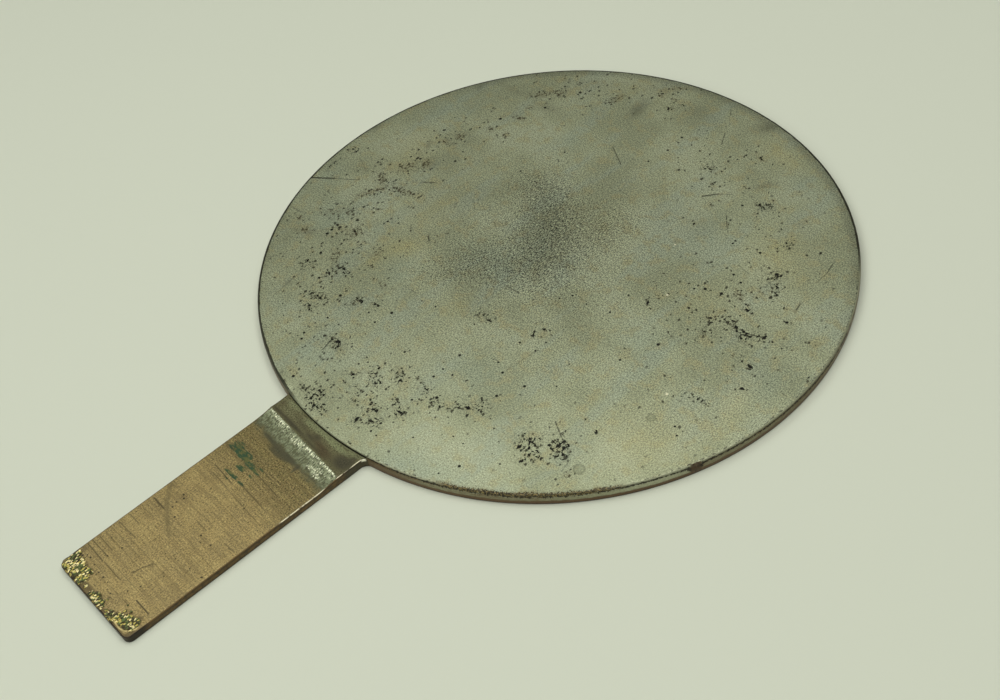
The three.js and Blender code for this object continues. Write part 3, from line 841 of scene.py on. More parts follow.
def stretched(tree, vector, scales):
    node = tree.nodes.new("ShaderNodeVectorMath")
    node.operation = "MULTIPLY"
    plug(tree, node.inputs[0], vector)
    node.inputs[1].default_value = scales
    return node.outputs[0]


def noise(tree, vector, scale, detail=2.0, roughness=0.5, flat=True):
    node = tree.nodes.new("ShaderNodeTexNoise")
    node.noise_dimensions = "2D" if flat else "3D"
    plug(tree, node.inputs["Vector"], vector)
    node.inputs["Scale"].default_value = scale
    node.inputs["Detail"].default_value = detail
    node.inputs["Roughness"].default_value = roughness
    return Field(tree, node.outputs[0])


def split(tree, vector):
    """The three numbers of a vector."""
    node = tree.nodes.new("ShaderNodeSeparateXYZ")
    plug(tree, node.inputs[0], vector)
    return [Field(tree, s) for s in node.outputs]


# How wear looks, the same for the relief and for the colours. Places are in millimetres.
FILE_STRETCH = (0.05, 1.1, 0.0)
FILE_FINE_STRETCH = (0.1, 2.6, 0.0)
CRUMB_SIZE = (1.7, 1.0, 0.0)
STREAK_STRETCH = (0.35, 0.35, 2.5)


def bed_pits(tree, place, bed):
    """Where a bed of pits has eaten the face: chains, loops and single crisp pits, with clean metal
    between them."""
    run = worked(tree, "ABSOLUTE", noise(tree, place, 0.3, 2.0, 0.6) - 0.5)
    broken = noise(tree, place, 0.72, 2.0, 0.6)
    chains = (broken - 0.47) * (bed + 0.05) - run
    single = broken - 0.71 + bed * 0.12
    return larger(ramped(chains, 0.0, 0.012), ramped(single, 0.0, 0.02)) * ramped(bed, 0.16, 0.3)


def file_marks(tree, place, stretch, low):
    """The furrows that a file has left across the handle, 0 to 1."""
    return ramped(noise(tree, stretched(tree, place, stretch), 1.0, 2.0, 0.6), low, 0.7)


def cells(tree, place, blocky=False):
    """Small cells: the distance from each one's middle, and three chances for each cell."""
    node = tree.nodes.new("ShaderNodeTexVoronoi")
    node.voronoi_dimensions = "2D"
    node.distance = "CHEBYCHEV" if blocky else "EUCLIDEAN"
    plug(tree, node.inputs["Vector"], place)
    node.inputs["Scale"].default_value = 1.0
    return Field(tree, node.outputs["Distance"]), split(tree, node.outputs["Color"])


def crumb_cells(tree, place):
    return cells(tree, stretched(tree, place, CRUMB_SIZE), blocky=True)


def crumb_cover(tree, place, crumbs):
    """Where the crumbling layer is, with a ragged border."""
    return ramped(crumbs + (noise(tree, place, 0.9, 2.0, 0.6) - 0.5) * 1.1, 0.36, 0.46)


def crust_here(tree, place, z, mask):
    """Where the dark crust under the edge of the face is, broken and ragged. The last argument
    finds a mask by its name."""
    broken = noise(tree, place, 0.8, 3.0, 0.7, flat=False)
    dashes = noise(tree, place, 0.45, 3.0, 0.7, flat=False)
    away = worked(tree, "ABSOLUTE", z - mask("crust_height") - 0.15) / mask("crust_half")
    ragged = away + (0.5 - broken) * 3.2
    return ramped(ragged, 0.8, 0.55) * ramped(mask("crust") + (dashes - 0.5) * 1.7, 0.42, 0.55)


# The depths and heights of the wear, the named inputs of its tree
WEAR_SIZES = {
    "Pit depth": 0.06, "Bed depth": 0.04, "Scratch depth": 0.035, "File mark depth": 0.045,
    "Fine file mark depth": 0.03, "Crumb height": 0.4, "Crust depth": 0.3,
    "Face waviness": 0.03, "Neck grain": 0.1, "Cast skin": 0.12,
}


def attribute(tree, name, kind="FLOAT"):
    """The output of a node that reads what is kept in the mesh under a name."""
    node = tree.nodes.new("GeometryNodeInputNamedAttribute")
    node.data_type = kind
    node.inputs["Name"].default_value = name
    return node.outputs[0]


def dressed(tree, end, finishes):
    """Gives each face of the casting the finish that its number names."""
    for number, finish in enumerate(finishes):
        same = tree.nodes.new("FunctionNodeCompare")
        same.data_type, same.operation = "INT", "EQUAL"
        compared = [s for s in same.inputs if s.type == "INT"]
        plug(tree, compared[0], attribute(tree, "finish", "INT"))
        compared[1].default_value = number
        dress = tree.nodes.new("GeometryNodeSetMaterial")
        dress.inputs["Material"].default_value = finish
        tree.links.new(end, dress.inputs["Geometry"])
        tree.links.new(same.outputs[0], dress.inputs["Selection"])
        end = dress.outputs[0]
    return end


def wear_tree(finishes):
    """The tree that wears the plain casting: pits, scratches, file marks, crumbs at the tip, the
    bitten rim and the cast skin of the back. Depths and sizes are its named inputs."""
    tree = bpy.data.node_groups.new("wear", "GeometryNodeTree")
    face = tree.interface
    face.new_socket("Casting", in_out="INPUT", socket_type="NodeSocketGeometry")
    for name in WEAR_SIZES:
        face.new_socket(name, in_out="INPUT", socket_type="NodeSocketFloat")
    face.new_socket("Casting", in_out="OUTPUT", socket_type="NodeSocketGeometry")
    given = tree.nodes.new("NodeGroupInput")
    size = {name: Field(tree, given.outputs[name]) for name in WEAR_SIZES}

    def mask(name):
        return Field(tree, attribute(tree, name))

    spot = tree.nodes.new("GeometryNodeInputPosition").outputs[0]
    place = stretched(tree, spot, TO_MM)
    x, y, z = split(tree, place)
    y = y - DISC_CENTRE_Y

    # the face
    black, brown = mask("black_bed"), mask("brown_bed")
    beds = larger(bed_pits(tree, place, black), bed_pits(tree, place, brown) * 0.8)
    sunk = beds * size["Bed depth"] + mask("round_pit") * size["Pit depth"]
    sunk = sunk + mask("scratch") * size["Scratch depth"]
    sunk = sunk + mask("on_face") * noise(tree, place, 0.05) * size["Face waviness"]

    # the handle
    filed = mask("filed")
    deep = file_marks(tree, place, FILE_STRETCH, 0.45) * size["File mark depth"]
    fine = file_marks(tree, place, FILE_FINE_STRETCH, 0.4) * size["Fine file mark depth"]
    sunk = sunk + filed * (deep + fine)
    on_neck = mask("on_handle") - filed
    sunk = sunk + on_neck * noise(tree, place, 0.9, 3.0, 0.65) * size["Neck grain"]
    crumbs = crumb_cover(tree, place, mask("crumbs")) * ramped(z, 1.4, 2.8)
    _, chances = crumb_cells(tree, place)
    raised = crumbs * (chances[0] - 0.8) * size["Crumb height"]

    # the back and the rim
    skin = mask("on_back") * noise(tree, place, 0.35, 3.0, 0.6) * size["Cast skin"]
    eaten = mask("wall_top") * crust_here(tree, place, z, mask) * size["Crust depth"]
    radius = worked(tree, "SQRT", x * x + y * y)
    inward = eaten / larger(radius, 1.0)

    offset = tree.nodes.new("ShaderNodeCombineXYZ")
    for socket, value in zip(offset.inputs, (-(x * inward), -(y * inward), raised - sunk + skin)):
        plug(tree, socket, value * MM)
    mover = tree.nodes.new("GeometryNodeSetPosition")
    tree.links.new(given.outputs["Casting"], mover.inputs["Geometry"])
    tree.links.new(offset.outputs[0], mover.inputs["Offset"])
    whole = tree.nodes.new("GeometryNodeRealizeInstances")
    tree.links.new(dressed(tree, mover.outputs[0], finishes), whole.inputs[0])
    result = tree.nodes.new("NodeGroupOutput")
    tree.links.new(whole.outputs[0], result.inputs[0])
    return tree


def worn(mesh, finishes, name):
    """The casting with its wear, as a plain mesh object."""
    blank = bpy.data.objects.new("blank", mesh)
    bpy.context.scene.collection.objects.link(blank)
    tree = wear_tree(finishes)
    modifier = blank.modifiers.new("wear", "NODES")
    modifier.node_group = tree
    sockets = {s.name: s.identifier for s in tree.interface.items_tree if s.in_out == "INPUT"}
    for size_name, value in WEAR_SIZES.items():
        modifier[sockets[size_name]] = value
    bpy.context.view_layer.update()
    graph = bpy.context.evaluated_depsgraph_get()
    made = bpy.data.meshes.new_from_object(blank.evaluated_get(graph), depsgraph=graph)
    made.name = name
    bpy.data.objects.remove(blank)
    piece = bpy.data.objects.new(name, made)
    bpy.context.scene.collection.objects.link(piece)
    made.set_sharp_from_angle(angle=SHARP_FROM)
    return piece


def colour(red, green, blue):
    """A colour given in display numbers from 0 to 255, as the shader wants it."""
    levels = [c / 255 for c in (red, green, blue)]
    linear = [c / 12.92 if c <= 0.04045 else ((c + 0.055) / 1.055) ** 2.4 for c in levels]
    return (*linear, 1.0)


class Finish:
    """A material in the making: its tree, the place in millimetres and its surface."""

    def __init__(self, name, metallic, base):
        self.material = bpy.data.materials.new(name)
        self.material.use_nodes = True
        self.tree = self.material.node_tree
        self.surface = self.tree.nodes["Principled BSDF"]
        self.surface.inputs["Metallic"].default_value = metallic
        spot = self.tree.nodes.new("ShaderNodeTexCoord").outputs["Object"]
        self.place = stretched(self.tree, spot, TO_MM)
        self.x, self.y, self.z = split(self.tree, self.place)
        self.y = self.y - DISC_CENTRE_Y
        self.radius = self.from_point(0, 0)
        self.colour = colour(*base)

    def mask(self, name):
        """What the mesh keeps at its points under a name."""
        node = self.tree.nodes.new("ShaderNodeAttribute")
        node.attribute_name = name
        return Field(self.tree, node.outputs["Fac"])

    def from_point(self, x, y):
        """Distance from a place, seen from above."""
        aside, ahead = self.x - x, self.y - y
        return worked(self.tree, "SQRT", aside * aside + ahead * ahead)

    def towards(self, degrees):
        """1 on the side of the disc that lies in a direction, and -1 on the opposite side."""
        turn = math.radians(degrees)
        return (self.x * math.cos(turn) + self.y * math.sin(turn)) / self.radius

    def gilt(self):
        """Where the edge of the face has a gold fringe."""
        return ramped(self.towards(GILT_SIDE), 0.955, 0.975)

    def noise(self, scale, detail=2.0, roughness=0.6, flat=True):
        return noise(self.tree, self.place, scale, detail, roughness, flat)

    def brushed(self, across, along, detail=2.0, roughness=0.6):
        """Noise drawn out across the handle or along it, by so many waves to the millimetre."""
        place = stretched(self.tree, self.place, (across, along, 0.0))
        return noise(self.tree, place, 1.0, detail, roughness)

    def paint(self, tint, share):
        """Lays a tint over the colour so far, by a share that is a field or a number."""
        node = self.tree.nodes.new("ShaderNodeMix")
        node.data_type = "RGBA"
        plug(self.tree, node.inputs[0], share)
        plug(self.tree, node.inputs[6], self.colour)
        plug(self.tree, node.inputs[7], colour(*tint))
        self.colour = node.outputs[2]

    def layers(self, *rows):
        """Lays on tints one after another, each by a strength while a field is past two levels."""
        for tint, field, low, high, strength in rows:
            self.paint(tint, ramped(field, low, high) * strength)

    def brighten(self, field):
        """Multiplies the colour by a field, 1 leaving it as it is."""
        node = self.tree.nodes.new("ShaderNodeVectorMath")
        node.operation = "SCALE"
        plug(self.tree, node.inputs[0], self.colour)
        plug(self.tree, node.inputs["Scale"], field)
        self.colour = node.outputs[0]

    def paint_corner_highlight(self, share=1.0):
        """A painted highlight in the corner between neck and disc, on the right."""
        spot = ramped(self.from_point(*HIGHLIGHT_CORNER), 1.3, 0.8) * ramped(self.z, 3.0, 3.4)
        self.paint((242, 240, 214), spot * share)

    def done(self, roughness, bump, bump_height):
        """Plugs in the colour, the roughness and a bump of so many millimetres."""
        plug(self.tree, self.surface.inputs["Base Color"], self.colour)
        plug(self.tree, self.surface.inputs["Roughness"], roughness)
        node = self.tree.nodes.new("ShaderNodeBump")
        node.inputs["Distance"].default_value = bump_height * MM
        plug(self.tree, node.inputs["Height"], bump)
        self.tree.links.new(node.outputs[0], self.surface.inputs["Normal"])
        return self.material


def flecks(f, density, size, widest):
    """Single dark specks in cells of the given size, as many as the density says."""
    wobble = f.noise(1.1, 1.0, 0.5) * 0.9
    place = f.tree.nodes.new("ShaderNodeCombineXYZ")
    plug(f.tree, place.inputs[0], (f.x + wobble) / size)
    plug(f.tree, place.inputs[1], (f.y - wobble) / (size * 1.2))
    distance, chances = cells(f.tree, place.outputs[0])
    reach = chances[1] * 0.6 * widest + 0.4 * widest
    return ramped(distance / reach, 1.0, 0.7) * ramped(density - chances[0], 0.0, 0.04)


def threads(f, scale, width):
    """Thin wandering lines."""
    run = worked(f.tree, "ABSOLUTE", f.noise(scale, 3.0) - 0.5)
    return ramped(run, width, width * 0.35)


def polished_face():
    """The tarnished polish of the face: grey-green, cloudy and grained, with a dark bloom in the
    middle, beds of black and brown pits, and a dark line round its edge."""
    f = Finish("polished_face", 0.62, (152, 157, 125))
    clouds = f.noise(0.028, 4.0, 0.55)
    streaks = f.brushed(0.075, 0.018, 3.0, 0.55)
    spots = f.noise(0.16, 3.0)
    grain = f.brushed(1.1, 0.8)
    fine_grain = f.brushed(2.2, 1.6, 1.0)
    hatch = f.brushed(1.3, 0.14)
    strokes = f.brushed(2.2, 0.6)
    bloom, speckle = f.mask("bloom"), f.mask("speckle")
    past_edge = f.radius - FACE_RADIUS

    # clouds, patches and the bloom
    f.layers(
        ((134, 139, 109), clouds, 0.42, 0.66, 0.7),
        ((164, 170, 141), clouds, 0.5, 0.3, 0.5),
        ((145, 155, 133), streaks, 0.5, 0.68, 0.5),
        ((154, 150, 110), spots, 0.5, 0.72, 0.6),
    )
    f.paint((160, 154, 104), f.mask("warm_patch") * 0.6)
    f.paint((134, 150, 133), f.mask("cool_patch") * 0.5)
    # pale patches, partly painted highlights
    f.paint((180, 184, 151), f.mask("pale_and_glare_patch") * 0.45)
    bloomed = bloom + (hatch - 0.5) * 0.7 + (spots - 0.5) * 0.5
    f.paint((90, 95, 76), ramped(bloomed, 0.0, 1.0) * 0.74)
    # painted shade: a darker band inside the rim on the far side
    far_rim_shade = ramped(past_edge, -5.35, -1.85) * ramped(f.y, 20.0, 80.0)
    f.paint((106, 110, 90), far_rim_shade * 0.45)

    # the grain, stronger in the bloom and calmer on the near left; the face is also lighter on the near
    # left, a painted highlight, and darker towards the middle
    near_left_glare = ramped(f.x * 0.4 - f.y * 0.9, 55.0, 100.0)
    in_bloom = (strokes - 0.5) * (bloom * 2.6 + 0.25)
    light_grain = (fine_grain - 0.5) * 2.5 + (hatch - 0.5) * 0.25 + in_bloom
    base = 1.15 - ramped(f.radius, 80.0, 30.0) * 0.13 + near_left_glare * 0.1
    f.brighten(base + light_grain * (bloom * 1.4 + 1.0 - near_left_glare * 0.25))
    f.paint((84, 84, 62), f.mask("dark_patch") * 0.75)

    # specks and veins
    black_bed, brown_bed = f.mask("black_bed"), f.mask("brown_bed")
    some = speckle * 0.16 + larger(black_bed, brown_bed) * 0.22 + 0.02
    f.paint((52, 50, 34), flecks(f, some, 1.1, 0.62) * 0.9)
    f.paint((40, 38, 26), flecks(f, some * 0.45, 2.1, 0.4) * 0.95)
    veined = ramped(speckle + black_bed * 0.3 + (grain - 0.5) * 1.6, 0.5, 0.62)
    f.paint((62, 60, 41), threads(f, 0.33, 0.016) * veined * 0.75)

    # beds of pits, scratches, single pits, stains and painted glints
    f.paint((122, 114, 78), brown_bed * 0.3)
    f.paint((66, 58, 36), bed_pits(f.tree, f.place, brown_bed) * 0.88)
    f.paint((134, 134, 98), black_bed * 0.2)
    black = bed_pits(f.tree, f.place, black_bed)
    f.paint((22, 21, 14), black * 0.98)
    cut, pit = f.mask("scratch"), f.mask("round_pit")
    f.paint((46, 45, 32), cut * ramped(grain + cut * 0.2, 0.46, 0.6) * 0.95)
    f.paint((26, 25, 17), ramped(pit, 0.1, 0.6) * 0.97)
    f.paint((150, 92, 40), f.mask("orange"))
    for x, y, size in STAINS:
        away = f.from_point(x, y) / size
        f.paint((100, 102, 74), between(away + (grain - 0.5) * 0.5, 0.78, 1.05, 0.1) * 0.5)
        f.paint((122, 128, 98), ramped(away, 0.95, 0.8) * 0.4)
    # painted highlights: small bright glints
    for x, y, size in GLINT_SPOTS:
        f.paint((236, 232, 196), ramped(f.from_point(x, y) / size, 1.0, 0.5) * 0.9)

    # the edge: a clean dark line on the far side, a gold and dark fringe, and a ragged line
    near, gilt = f.towards(NEAR_SIDE), f.gilt()
    far_line = ramped(past_edge + (spots - 0.5) * 0.7, -0.65, -0.4) * ramped(near, 0.46, 0.3)
    f.paint((36, 34, 23), far_line * 0.92)
    fringe = past_edge + (spots - 0.5) * 2.0
    f.paint((132, 116, 66), gilt * ramped(fringe + (fine_grain - 0.5) * 3.6, -0.6, -0.35) * 0.85)
    f.paint((48, 40, 26), gilt * ramped(fringe + (fine_grain - 0.5) * 4.0, -0.45, -0.05) * 0.9)
    ragged = past_edge + (grain - 0.5) * 3.2 + (hatch - 0.5) * 0.8
    ragged_line = ramped(ragged, -0.15, 0.1) * ramped(near, 0.4, 0.5)
    over_neck = ramped(f.y, -116.6, -117.8)
    f.paint((50, 45, 30), ragged_line * (0.85 - over_neck * 0.6))
    rough = 0.42 + bloom * 0.08 + (grain - 0.5) * 0.1 + larger(black, pit) * 0.3
    return f.done(rough, grain * 0.5 + spots * 2.0, 0.02)


def filed_handle():
    """The handle: golden brown, filed across, with verdigris, a dark neck and a ramp with painted
    highlights along its ridge.
    """
    f = Finish("filed_handle", 0.5, (156, 137, 85))
    deep = file_marks(f.tree, f.place, FILE_STRETCH, 0.45)
    fine = file_marks(f.tree, f.place, FILE_FINE_STRETCH, 0.4)
    clouds, ragged = f.noise(0.11, 3.0, 0.55), f.noise(0.32, 3.0)
    lengthwise, crosswise = f.brushed(1.6, 0.09), f.brushed(0.14, 1.7)
    specks, sparkle = f.brushed(2.0, 1.6), f.brushed(1.5, 1.0)
    brushed, patchy = f.brushed(1.8, 0.45), f.brushed(0.28, 0.8)
    past_ridge = f.y + f.x * math.tan(RIDGE_SLANT) - RIDGE_Y

    # the filed bar
    f.layers(
        ((138, 124, 81), clouds, 0.42, 0.62, 0.4),
        ((168, 151, 97), clouds, 0.5, 0.34, 0.45),
    )
    near_neck = ramped(past_ridge + (ragged - 0.5) * 14.0, -36.1, -13.1)
    f.paint((104, 97, 52), near_neck * 0.7)
    f.paint((104, 87, 52), deep * (0.14 + near_neck * 0.4))
    f.paint((180, 162, 110), fine * 0.2)
    f.paint((96, 80, 46), ramped(lengthwise, 0.52, 0.7) * (0.16 + near_neck * 0.35))
    speckled = (specks - 0.5) * (near_neck * 1.4 + 2.3)
    f.brighten(1.02 + speckled + (crosswise - 0.5) * 0.55 + (lengthwise - 0.5) * 0.7)
    thin_lines = ramped(f.brushed(0.035, 0.75, roughness=0.5), 0.57, 0.62)
    f.paint((84, 70, 42), thin_lines * ramped(specks + crosswise, 0.9, 1.15) * 0.38)

    # verdigris, the smeared streak, strokes and smears
    verdigris = f.mask("verdigris")
    green = ramped(verdigris * 1.15 + (specks - 0.5) * 1.2 + (patchy - 0.5) * 2.0, 0.46, 0.7)
    green = green * ramped(verdigris, 0.1, 0.5)
    f.paint((86, 96, 48), green * 0.8)
    f.paint((44, 76, 50), green * ramped(patchy + (specks - 0.5) * 0.5, 0.46, 0.56) * 0.9)
    f.paint((92, 84, 52), f.mask("streak") * ramped(specks, 0.2, 0.6))
    stroke = f.mask("scratch")
    clear_stroke = worked(f.tree, "POWER", stroke, 0.7) * ramped(specks + stroke * 0.2, 0.42, 0.58)
    f.paint((66, 57, 36), clear_stroke * 0.9)
    f.paint((72, 62, 40), f.mask("dark_patch") * 0.7)

    # the ramp and the ridge, with a painted highlight band, painted highlights and glints along the ridge
    ramp_end = past_ridge + (ragged - 0.5) * 4.0
    ramp = ramped(ramp_end + (specks - 0.5) * 4.0, -10.7, -5.9)
    f.paint((90, 94, 66), ramp * 0.9)
    mottled = ramped(brushed + (ragged - 0.5) * 0.6, 0.4, 0.6)
    f.paint((136, 144, 110), between(ramp_end, -6.7, -2.1, 1.2) * mottled * 0.85)
    f.paint((62, 63, 45), ramped(f.mask("neck_smoke") + (specks - 0.5) * 0.9, 0.2, 0.8) * 0.75)
    # painted highlights: a bright band just below the ridge, lit patches and white glints
    band = between(past_ridge + (ragged - 0.5) * 2.0, -3.1, 0.0, 0.5)
    f.paint((150, 158, 122), band * (mottled * 0.6 + 0.3))
    lit = f.mask("neck_highlight")
    f.paint((176, 184, 144), ramped(lit + (brushed - 0.5) * 1.6, 0.3, 0.9) * 0.8)
    glints = ramped(lit * 0.7 + band * 0.05 + (sparkle - 0.5) * 3.6, 0.72, 0.95)
    f.paint((240, 242, 208), glints * ramped(lit + band * 0.5, 0.1, 0.4))
    f.paint((60, 60, 42), ramped(sparkle, 0.42, 0.36) * (band + ramp) * 0.6)

    # the neck above the ridge
    neck = ramped(past_ridge + (specks - 0.5) * 0.5, -0.35, 0.15)
    f.paint((102, 99, 66), neck)
    for name, tint, low, high, strength in (
        ("neck_olive", (126, 131, 92), 0.2, 0.8, 0.9),
        ("neck_brown", (78, 66, 41), 0.1, 0.9, 0.9),
        ("neck_dark", (62, 59, 42), 0.1, 0.9, 0.85),
    ):
        f.paint(tint, neck * ramped(f.mask(name) + (specks - 0.5) * 1.4, low, high) * strength)
    f.brighten(1.0 + neck * (specks - 0.5) * 2.6)
    # painted highlight in the corner between neck and disc
    f.paint_corner_highlight()
    # painted highlight: a thin bright line on the neck at the foot of the step down from the disc
    past_disc = f.radius - DISC_RADIUS
    lip = between(past_disc, 0.0, 0.5, 0.12) * ramped(f.x, -4.0, 2.0)
    f.paint((140, 145, 106), lip * ramped(sparkle, 0.36, 0.5) * 0.8)
    # painted shade: the step down from the disc, black
    f.paint((34, 32, 22), ramped(past_disc, -0.06, -0.16))

    # a thin dark line along the left upper edge
    aside = f.x - (f.y - LEAN_PIVOT_Y) * math.tan(HANDLE_LEAN)
    half = NECK_HALF + (f.y + DISC_RADIUS) * ((NECK_WIDTH - TIP_WIDTH) / 2 / HANDLE_REACH)
    f.paint((62, 52, 32), ramped(-aside - half + (specks - 0.5) * 0.3, -0.55, -0.3) * 0.85)

    # the tip
    shade = f.mask("tip_shade") + (specks - 0.5) * 0.8
    f.paint((82, 70, 42), ramped(shade, 0.25, 0.6) * 0.75)
    crumb_mask = f.mask("crumbs")
    crumbs = crumb_cover(f.tree, f.place, crumb_mask)
    distance, chances = crumb_cells(f.tree, f.place)
    f.paint((84, 68, 38), ramped(crumb_mask, 0.1, 0.35) * 0.55)
    f.paint((72, 66, 36), crumbs)
    body = crumbs * ramped(distance, 0.52, 0.42)
    for chance, tint, low, high, strength in (
        (1, (102, 118, 62), 0.3, 0.36, 0.9),
        (2, (52, 46, 26), 0.3, 0.26, 0.9),
        (0, (190, 176, 90), 0.5, 0.54, 1.0),
        (0, (240, 226, 160), 0.74, 0.78, 1.0),
    ):
        f.paint(tint, body * ramped(chances[chance], low, high) * strength)
    f.paint((214, 196, 132), f.mask("tip_edge") * ramped(ragged, 0.34, 0.5) * 0.85)
    f.paint((46, 40, 26), f.mask("round_pit") * 0.9)
    rough = 0.44 + crumbs * 0.05 + neck * 0.12 + ramp * 0.06 - lit * 0.08
    return f.done(rough, fine * 0.5 + specks * 0.25, 0.03)


def rim_wall():
    """The side wall of the disc: a painted highlight along the arris, a dark eaten crust under the edge,
    a pale band below it on the near side, brown lower down and painted shade darkening the foot."""
    f = Finish("rim_wall", 0.35, (112, 94, 62))
    broken = f.noise(0.6, 3.0, flat=False)
    fine = f.noise(1.8, flat=False)
    streaks = stretched(f.tree, f.place, STREAK_STRETCH)
    along = noise(f.tree, streaks, 1.0, 3.0, 0.6, flat=False)
    uneven = along - 0.5
    gilt = f.gilt()

    # brown metal, the pale band, and a painted highlight along the arris at the edge of the face
    f.paint((86, 72, 46), ramped(along, 0.4, 0.62) * 0.7)
    share = f.mask("wall_pale")
    pale = between(f.z + uneven * 1.2, 2.1, 4.9, 0.3)
    f.paint((146, 147, 116), pale * ramped(share + uneven * 1.1, 0.05, 0.8) * 0.95)
    f.paint((170, 172, 142), pale * ramped(share + uneven * 0.6, 0.6, 1.0) * 0.8)
    f.paint((98, 74, 48), ramped(f.z + uneven * 1.2, 2.5, 1.7) * 0.9)
    arris = ramped(f.z + (broken - 0.5) * 0.4, 4.75, 4.95)
    f.paint((150, 154, 124), arris * 0.9)
    f.paint((62, 52, 32), gilt * arris * 0.9)

    # the crust, the chip and the dark far side
    crust = crust_here(f.tree, f.place, f.z, f.mask)
    f.paint((40, 34, 22), crust * 0.95)
    gold = gilt * ramped(f.z, 3.7, 4.4) * larger(crust, arris) * ramped(fine, 0.5, 0.56)
    f.paint((140, 122, 70), gold * 0.85)
    chipped = ramped(f.mask("crust_half"), 1.5, 2.2) * ramped(broken, 0.36, 0.5)
    f.paint((84, 66, 42), chipped * 0.85)
    far = ramped(f.towards(NEAR_SIDE), 0.46, 0.3)
    f.paint((44, 42, 29), far * ramped(f.z + (broken - 0.5), 4.0, 4.5) * 0.9)
    f.brighten(1.0 + (fine - 0.5) * 0.9)

    # the foot darkened as painted shade, the step over the neck and the painted highlight in the corner
    f.paint((54, 43, 28), ramped(f.z + uneven * 0.9, 0.8, 0.3) * 0.85)
    step = ramped(f.y, -117.0, -117.6) * between(f.z, 4.0, 4.75, 0.1)
    f.paint((98, 98, 68), step * 0.9)
    f.paint_corner_highlight(ramped(f.z, 4.6, 4.3))
    return f.done(0.5, broken, 0.08)


def bar_wall():
    """The sides and the end of the handle: brown, with a painted highlight along the upper edge on the
    right and painted shade at the foot.
    """
    f = Finish("bar_wall", 0.4, (108, 84, 46))
    broken = f.noise(0.6, 3.0, flat=False)
    fine = f.noise(1.8, flat=False)
    slanted = f.y + f.x * math.tan(RIDGE_SLANT)
    thicker = ramped(slanted, RAMP_FOOT_Y + 1.0, RIDGE_Y) * (NECK_HEIGHT - HANDLE_THICKNESS)
    under_edge = HANDLE_THICKNESS + thicker - f.z
    f.paint((72, 58, 34), ramped(broken, 0.42, 0.62) * 0.85)
    f.paint((62, 60, 42), ramped(f.y, -128.0, -126.0) * 0.8)
    f.paint((50, 40, 25), between(under_edge, 0.5, 1.1, 0.2) * 0.6)
    f.brighten(1.0 + (fine - 0.5) * 0.8)
    right = ramped(f.x, 0.0, 10.0)
    # painted highlight along the upper edge on the right
    arris_highlight = ramped(under_edge, 0.3, 0.16) * between(f.y, -155.5, -119.0, 1.0) * right
    f.paint((236, 230, 196), arris_highlight * ramped(broken, 0.66, 0.5) * 0.9)

    # towards the tip
    f.paint((40, 33, 21), ramped(f.y, -209.0, -213.0) * ramped(broken, 0.22, 0.42) * 0.92)
    tip_edge = ramped(under_edge, 0.3, 0.12) * ramped(f.y, -209.0, -206.0)
    f.paint((150, 132, 84), tip_edge * ramped(broken, 0.4, 0.6) * 0.3)
    crumbs = crumb_cover(f.tree, f.place, f.mask("crumbs")) * ramped(under_edge, 1.6, 0.8)
    _, chances = crumb_cells(f.tree, f.place)
    f.paint((176, 156, 84), crumbs * ramped(chances[0], 0.5, 0.62) * 0.8)

    # the foot darkened as painted shade, and the painted highlight in the corner
    f.paint((40, 33, 22), ramped(f.z + (broken - 0.5) * 0.6, 0.9, 0.3) * 0.9)
    f.paint_corner_highlight()
    return f.done(0.5, broken, 0.08)


def cast_back():
    """The underside: the cast skin with an even brown-green patina."""
    f = Finish("cast_back", 0.4, (118, 116, 86))
    clouds = f.noise(0.03, 4.0)
    spots = f.noise(0.3, 4.0, 0.65)
    f.layers(
        ((92, 88, 60), clouds, 0.36, 0.68, 0.5),
        ((104, 118, 90), spots, 0.56, 0.7, 0.5),
        ((66, 60, 40), spots, 0.36, 0.28, 0.6),
    )
    worn_rim = ramped(f.z, 0.5, 0.1)
    f.paint((146, 140, 104), worn_rim * ramped(spots, 0.42, 0.6) * 0.6)
    return f.done(0.56 + (spots - 0.5) * 0.2, spots, 0.12)


# The room, in metres: each light's place and power, and the size they share
LIGHTS = {
    "front": ((0.4, -1.2, 1.2), 10.2),
    "left": ((-0.5, -0.3, 1.3), 5.0),
    "overhead": ((0.3, 0.3, 1.4), 8.0),
    "behind": ((-0.6, 0.6, 1.3), 1.8),
}
LIGHT_SIZE = 1.0
FLOOR_HALF = 3.0
FLOOR_DROP = 0.00005  # the floor lies this little below the part, so that the two don't coincide
FLOOR_COLOUR = (213, 218, 197)
ROOM_COLOUR = (0.93, 0.96, 0.88, 1.0)
ROOM_STRENGTH = 0.107

# The camera where it stood: its aim on the table, its turn, height and roll, distance and lens
CAMERA_AIM = (0.01906, 0.00154, 0.0)
CAMERA_DEGREES = (53.40, 47.50, -9.095)
CAMERA_DISTANCE = 0.5055
CAMERA_LENS, CAMERA_SENSOR = 47.71, 36.0


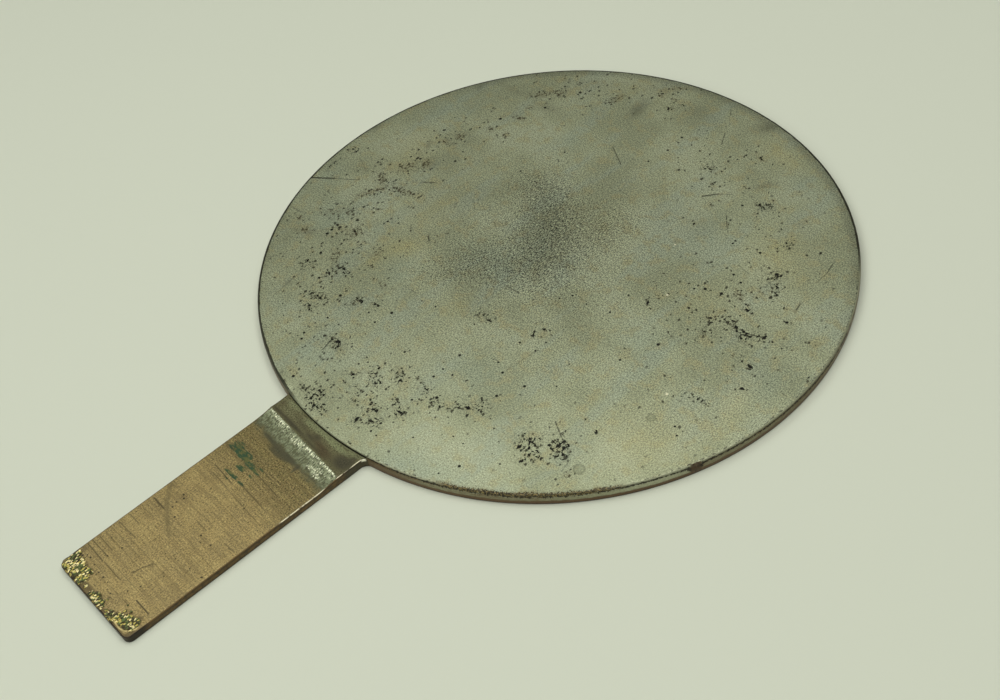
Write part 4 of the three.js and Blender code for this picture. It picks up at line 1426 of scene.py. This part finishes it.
def studio():
    """A plain pale floor, soft lights from above and pale surroundings."""
    scene = bpy.context.scene
    floor_mesh = bpy.data.meshes.new("floor")
    corners = [(FLOOR_HALF * x, FLOOR_HALF * y, 0) for x, y in ((-1, -1), (1, -1), (1, 1), (-1, 1))]
    floor_mesh.from_pydata(corners, [], [(0, 1, 2, 3)])
    floor = bpy.data.objects.new("floor", floor_mesh)
    floor.location.z = -FLOOR_DROP
    scene.collection.objects.link(floor)
    pale = bpy.data.materials.new("pale_floor")
    pale.use_nodes = True
    shader = pale.node_tree.nodes["Principled BSDF"]
    shader.inputs["Base Color"].default_value = colour(*FLOOR_COLOUR)
    shader.inputs["Roughness"].default_value = 0.9
    floor_mesh.materials.append(pale)

    for name, (place, power) in LIGHTS.items():
        lamp = bpy.data.lights.new(name, "AREA")
        lamp.shape, lamp.size, lamp.energy = "DISK", LIGHT_SIZE, power
        light = bpy.data.objects.new(name, lamp)
        light.location = place
        light.rotation_euler = (-Vector(place)).to_track_quat("-Z", "Y").to_euler()
        scene.collection.objects.link(light)
    world = bpy.data.worlds.new("pale_room")
    world.use_nodes = True
    sky = world.node_tree.nodes["Background"]
    sky.inputs["Color"].default_value = ROOM_COLOUR
    sky.inputs["Strength"].default_value = ROOM_STRENGTH
    scene.world = world
    scene.view_settings.view_transform = "Standard"
    scene.view_settings.look = "None"


def camera():
    """Sets up the camera from its aim, angles, distance and lens."""
    azimuth, elevation, roll = (math.radians(a) for a in CAMERA_DEGREES)
    level = math.cos(elevation)
    back = Vector((math.sin(azimuth) * level, -math.cos(azimuth) * level, math.sin(elevation)))
    right = (-back).cross(Vector((0, 0, 1))).normalized()
    up = right.cross(-back)
    tilted_right = right * math.cos(roll) + up * math.sin(roll)
    tilted_up = -right * math.sin(roll) + up * math.cos(roll)
    lens = bpy.data.cameras.new("camera")
    lens.sensor_width, lens.sensor_fit, lens.lens = CAMERA_SENSOR, "HORIZONTAL", CAMERA_LENS
    lens.clip_start, lens.clip_end = 0.01, 20.0
    eye = bpy.data.objects.new("camera", lens)
    turned_to = Matrix((tilted_right, tilted_up, back)).transposed().to_4x4()
    eye.matrix_world = Matrix.Translation(Vector(CAMERA_AIM) + back * CAMERA_DISTANCE) @ turned_to
    bpy.context.scene.collection.objects.link(eye)
    bpy.context.scene.camera = eye


finishes = [polished_face(), filed_handle(), rim_wall(), bar_wall(), cast_back()]
mirror = worn(casting_mesh(), finishes, "mirror_casting")
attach(mirror, "root")
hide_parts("mirror")
print("triangles", sum(len(p.vertices) - 2 for p in mirror.data.polygons))

studio()
camera()
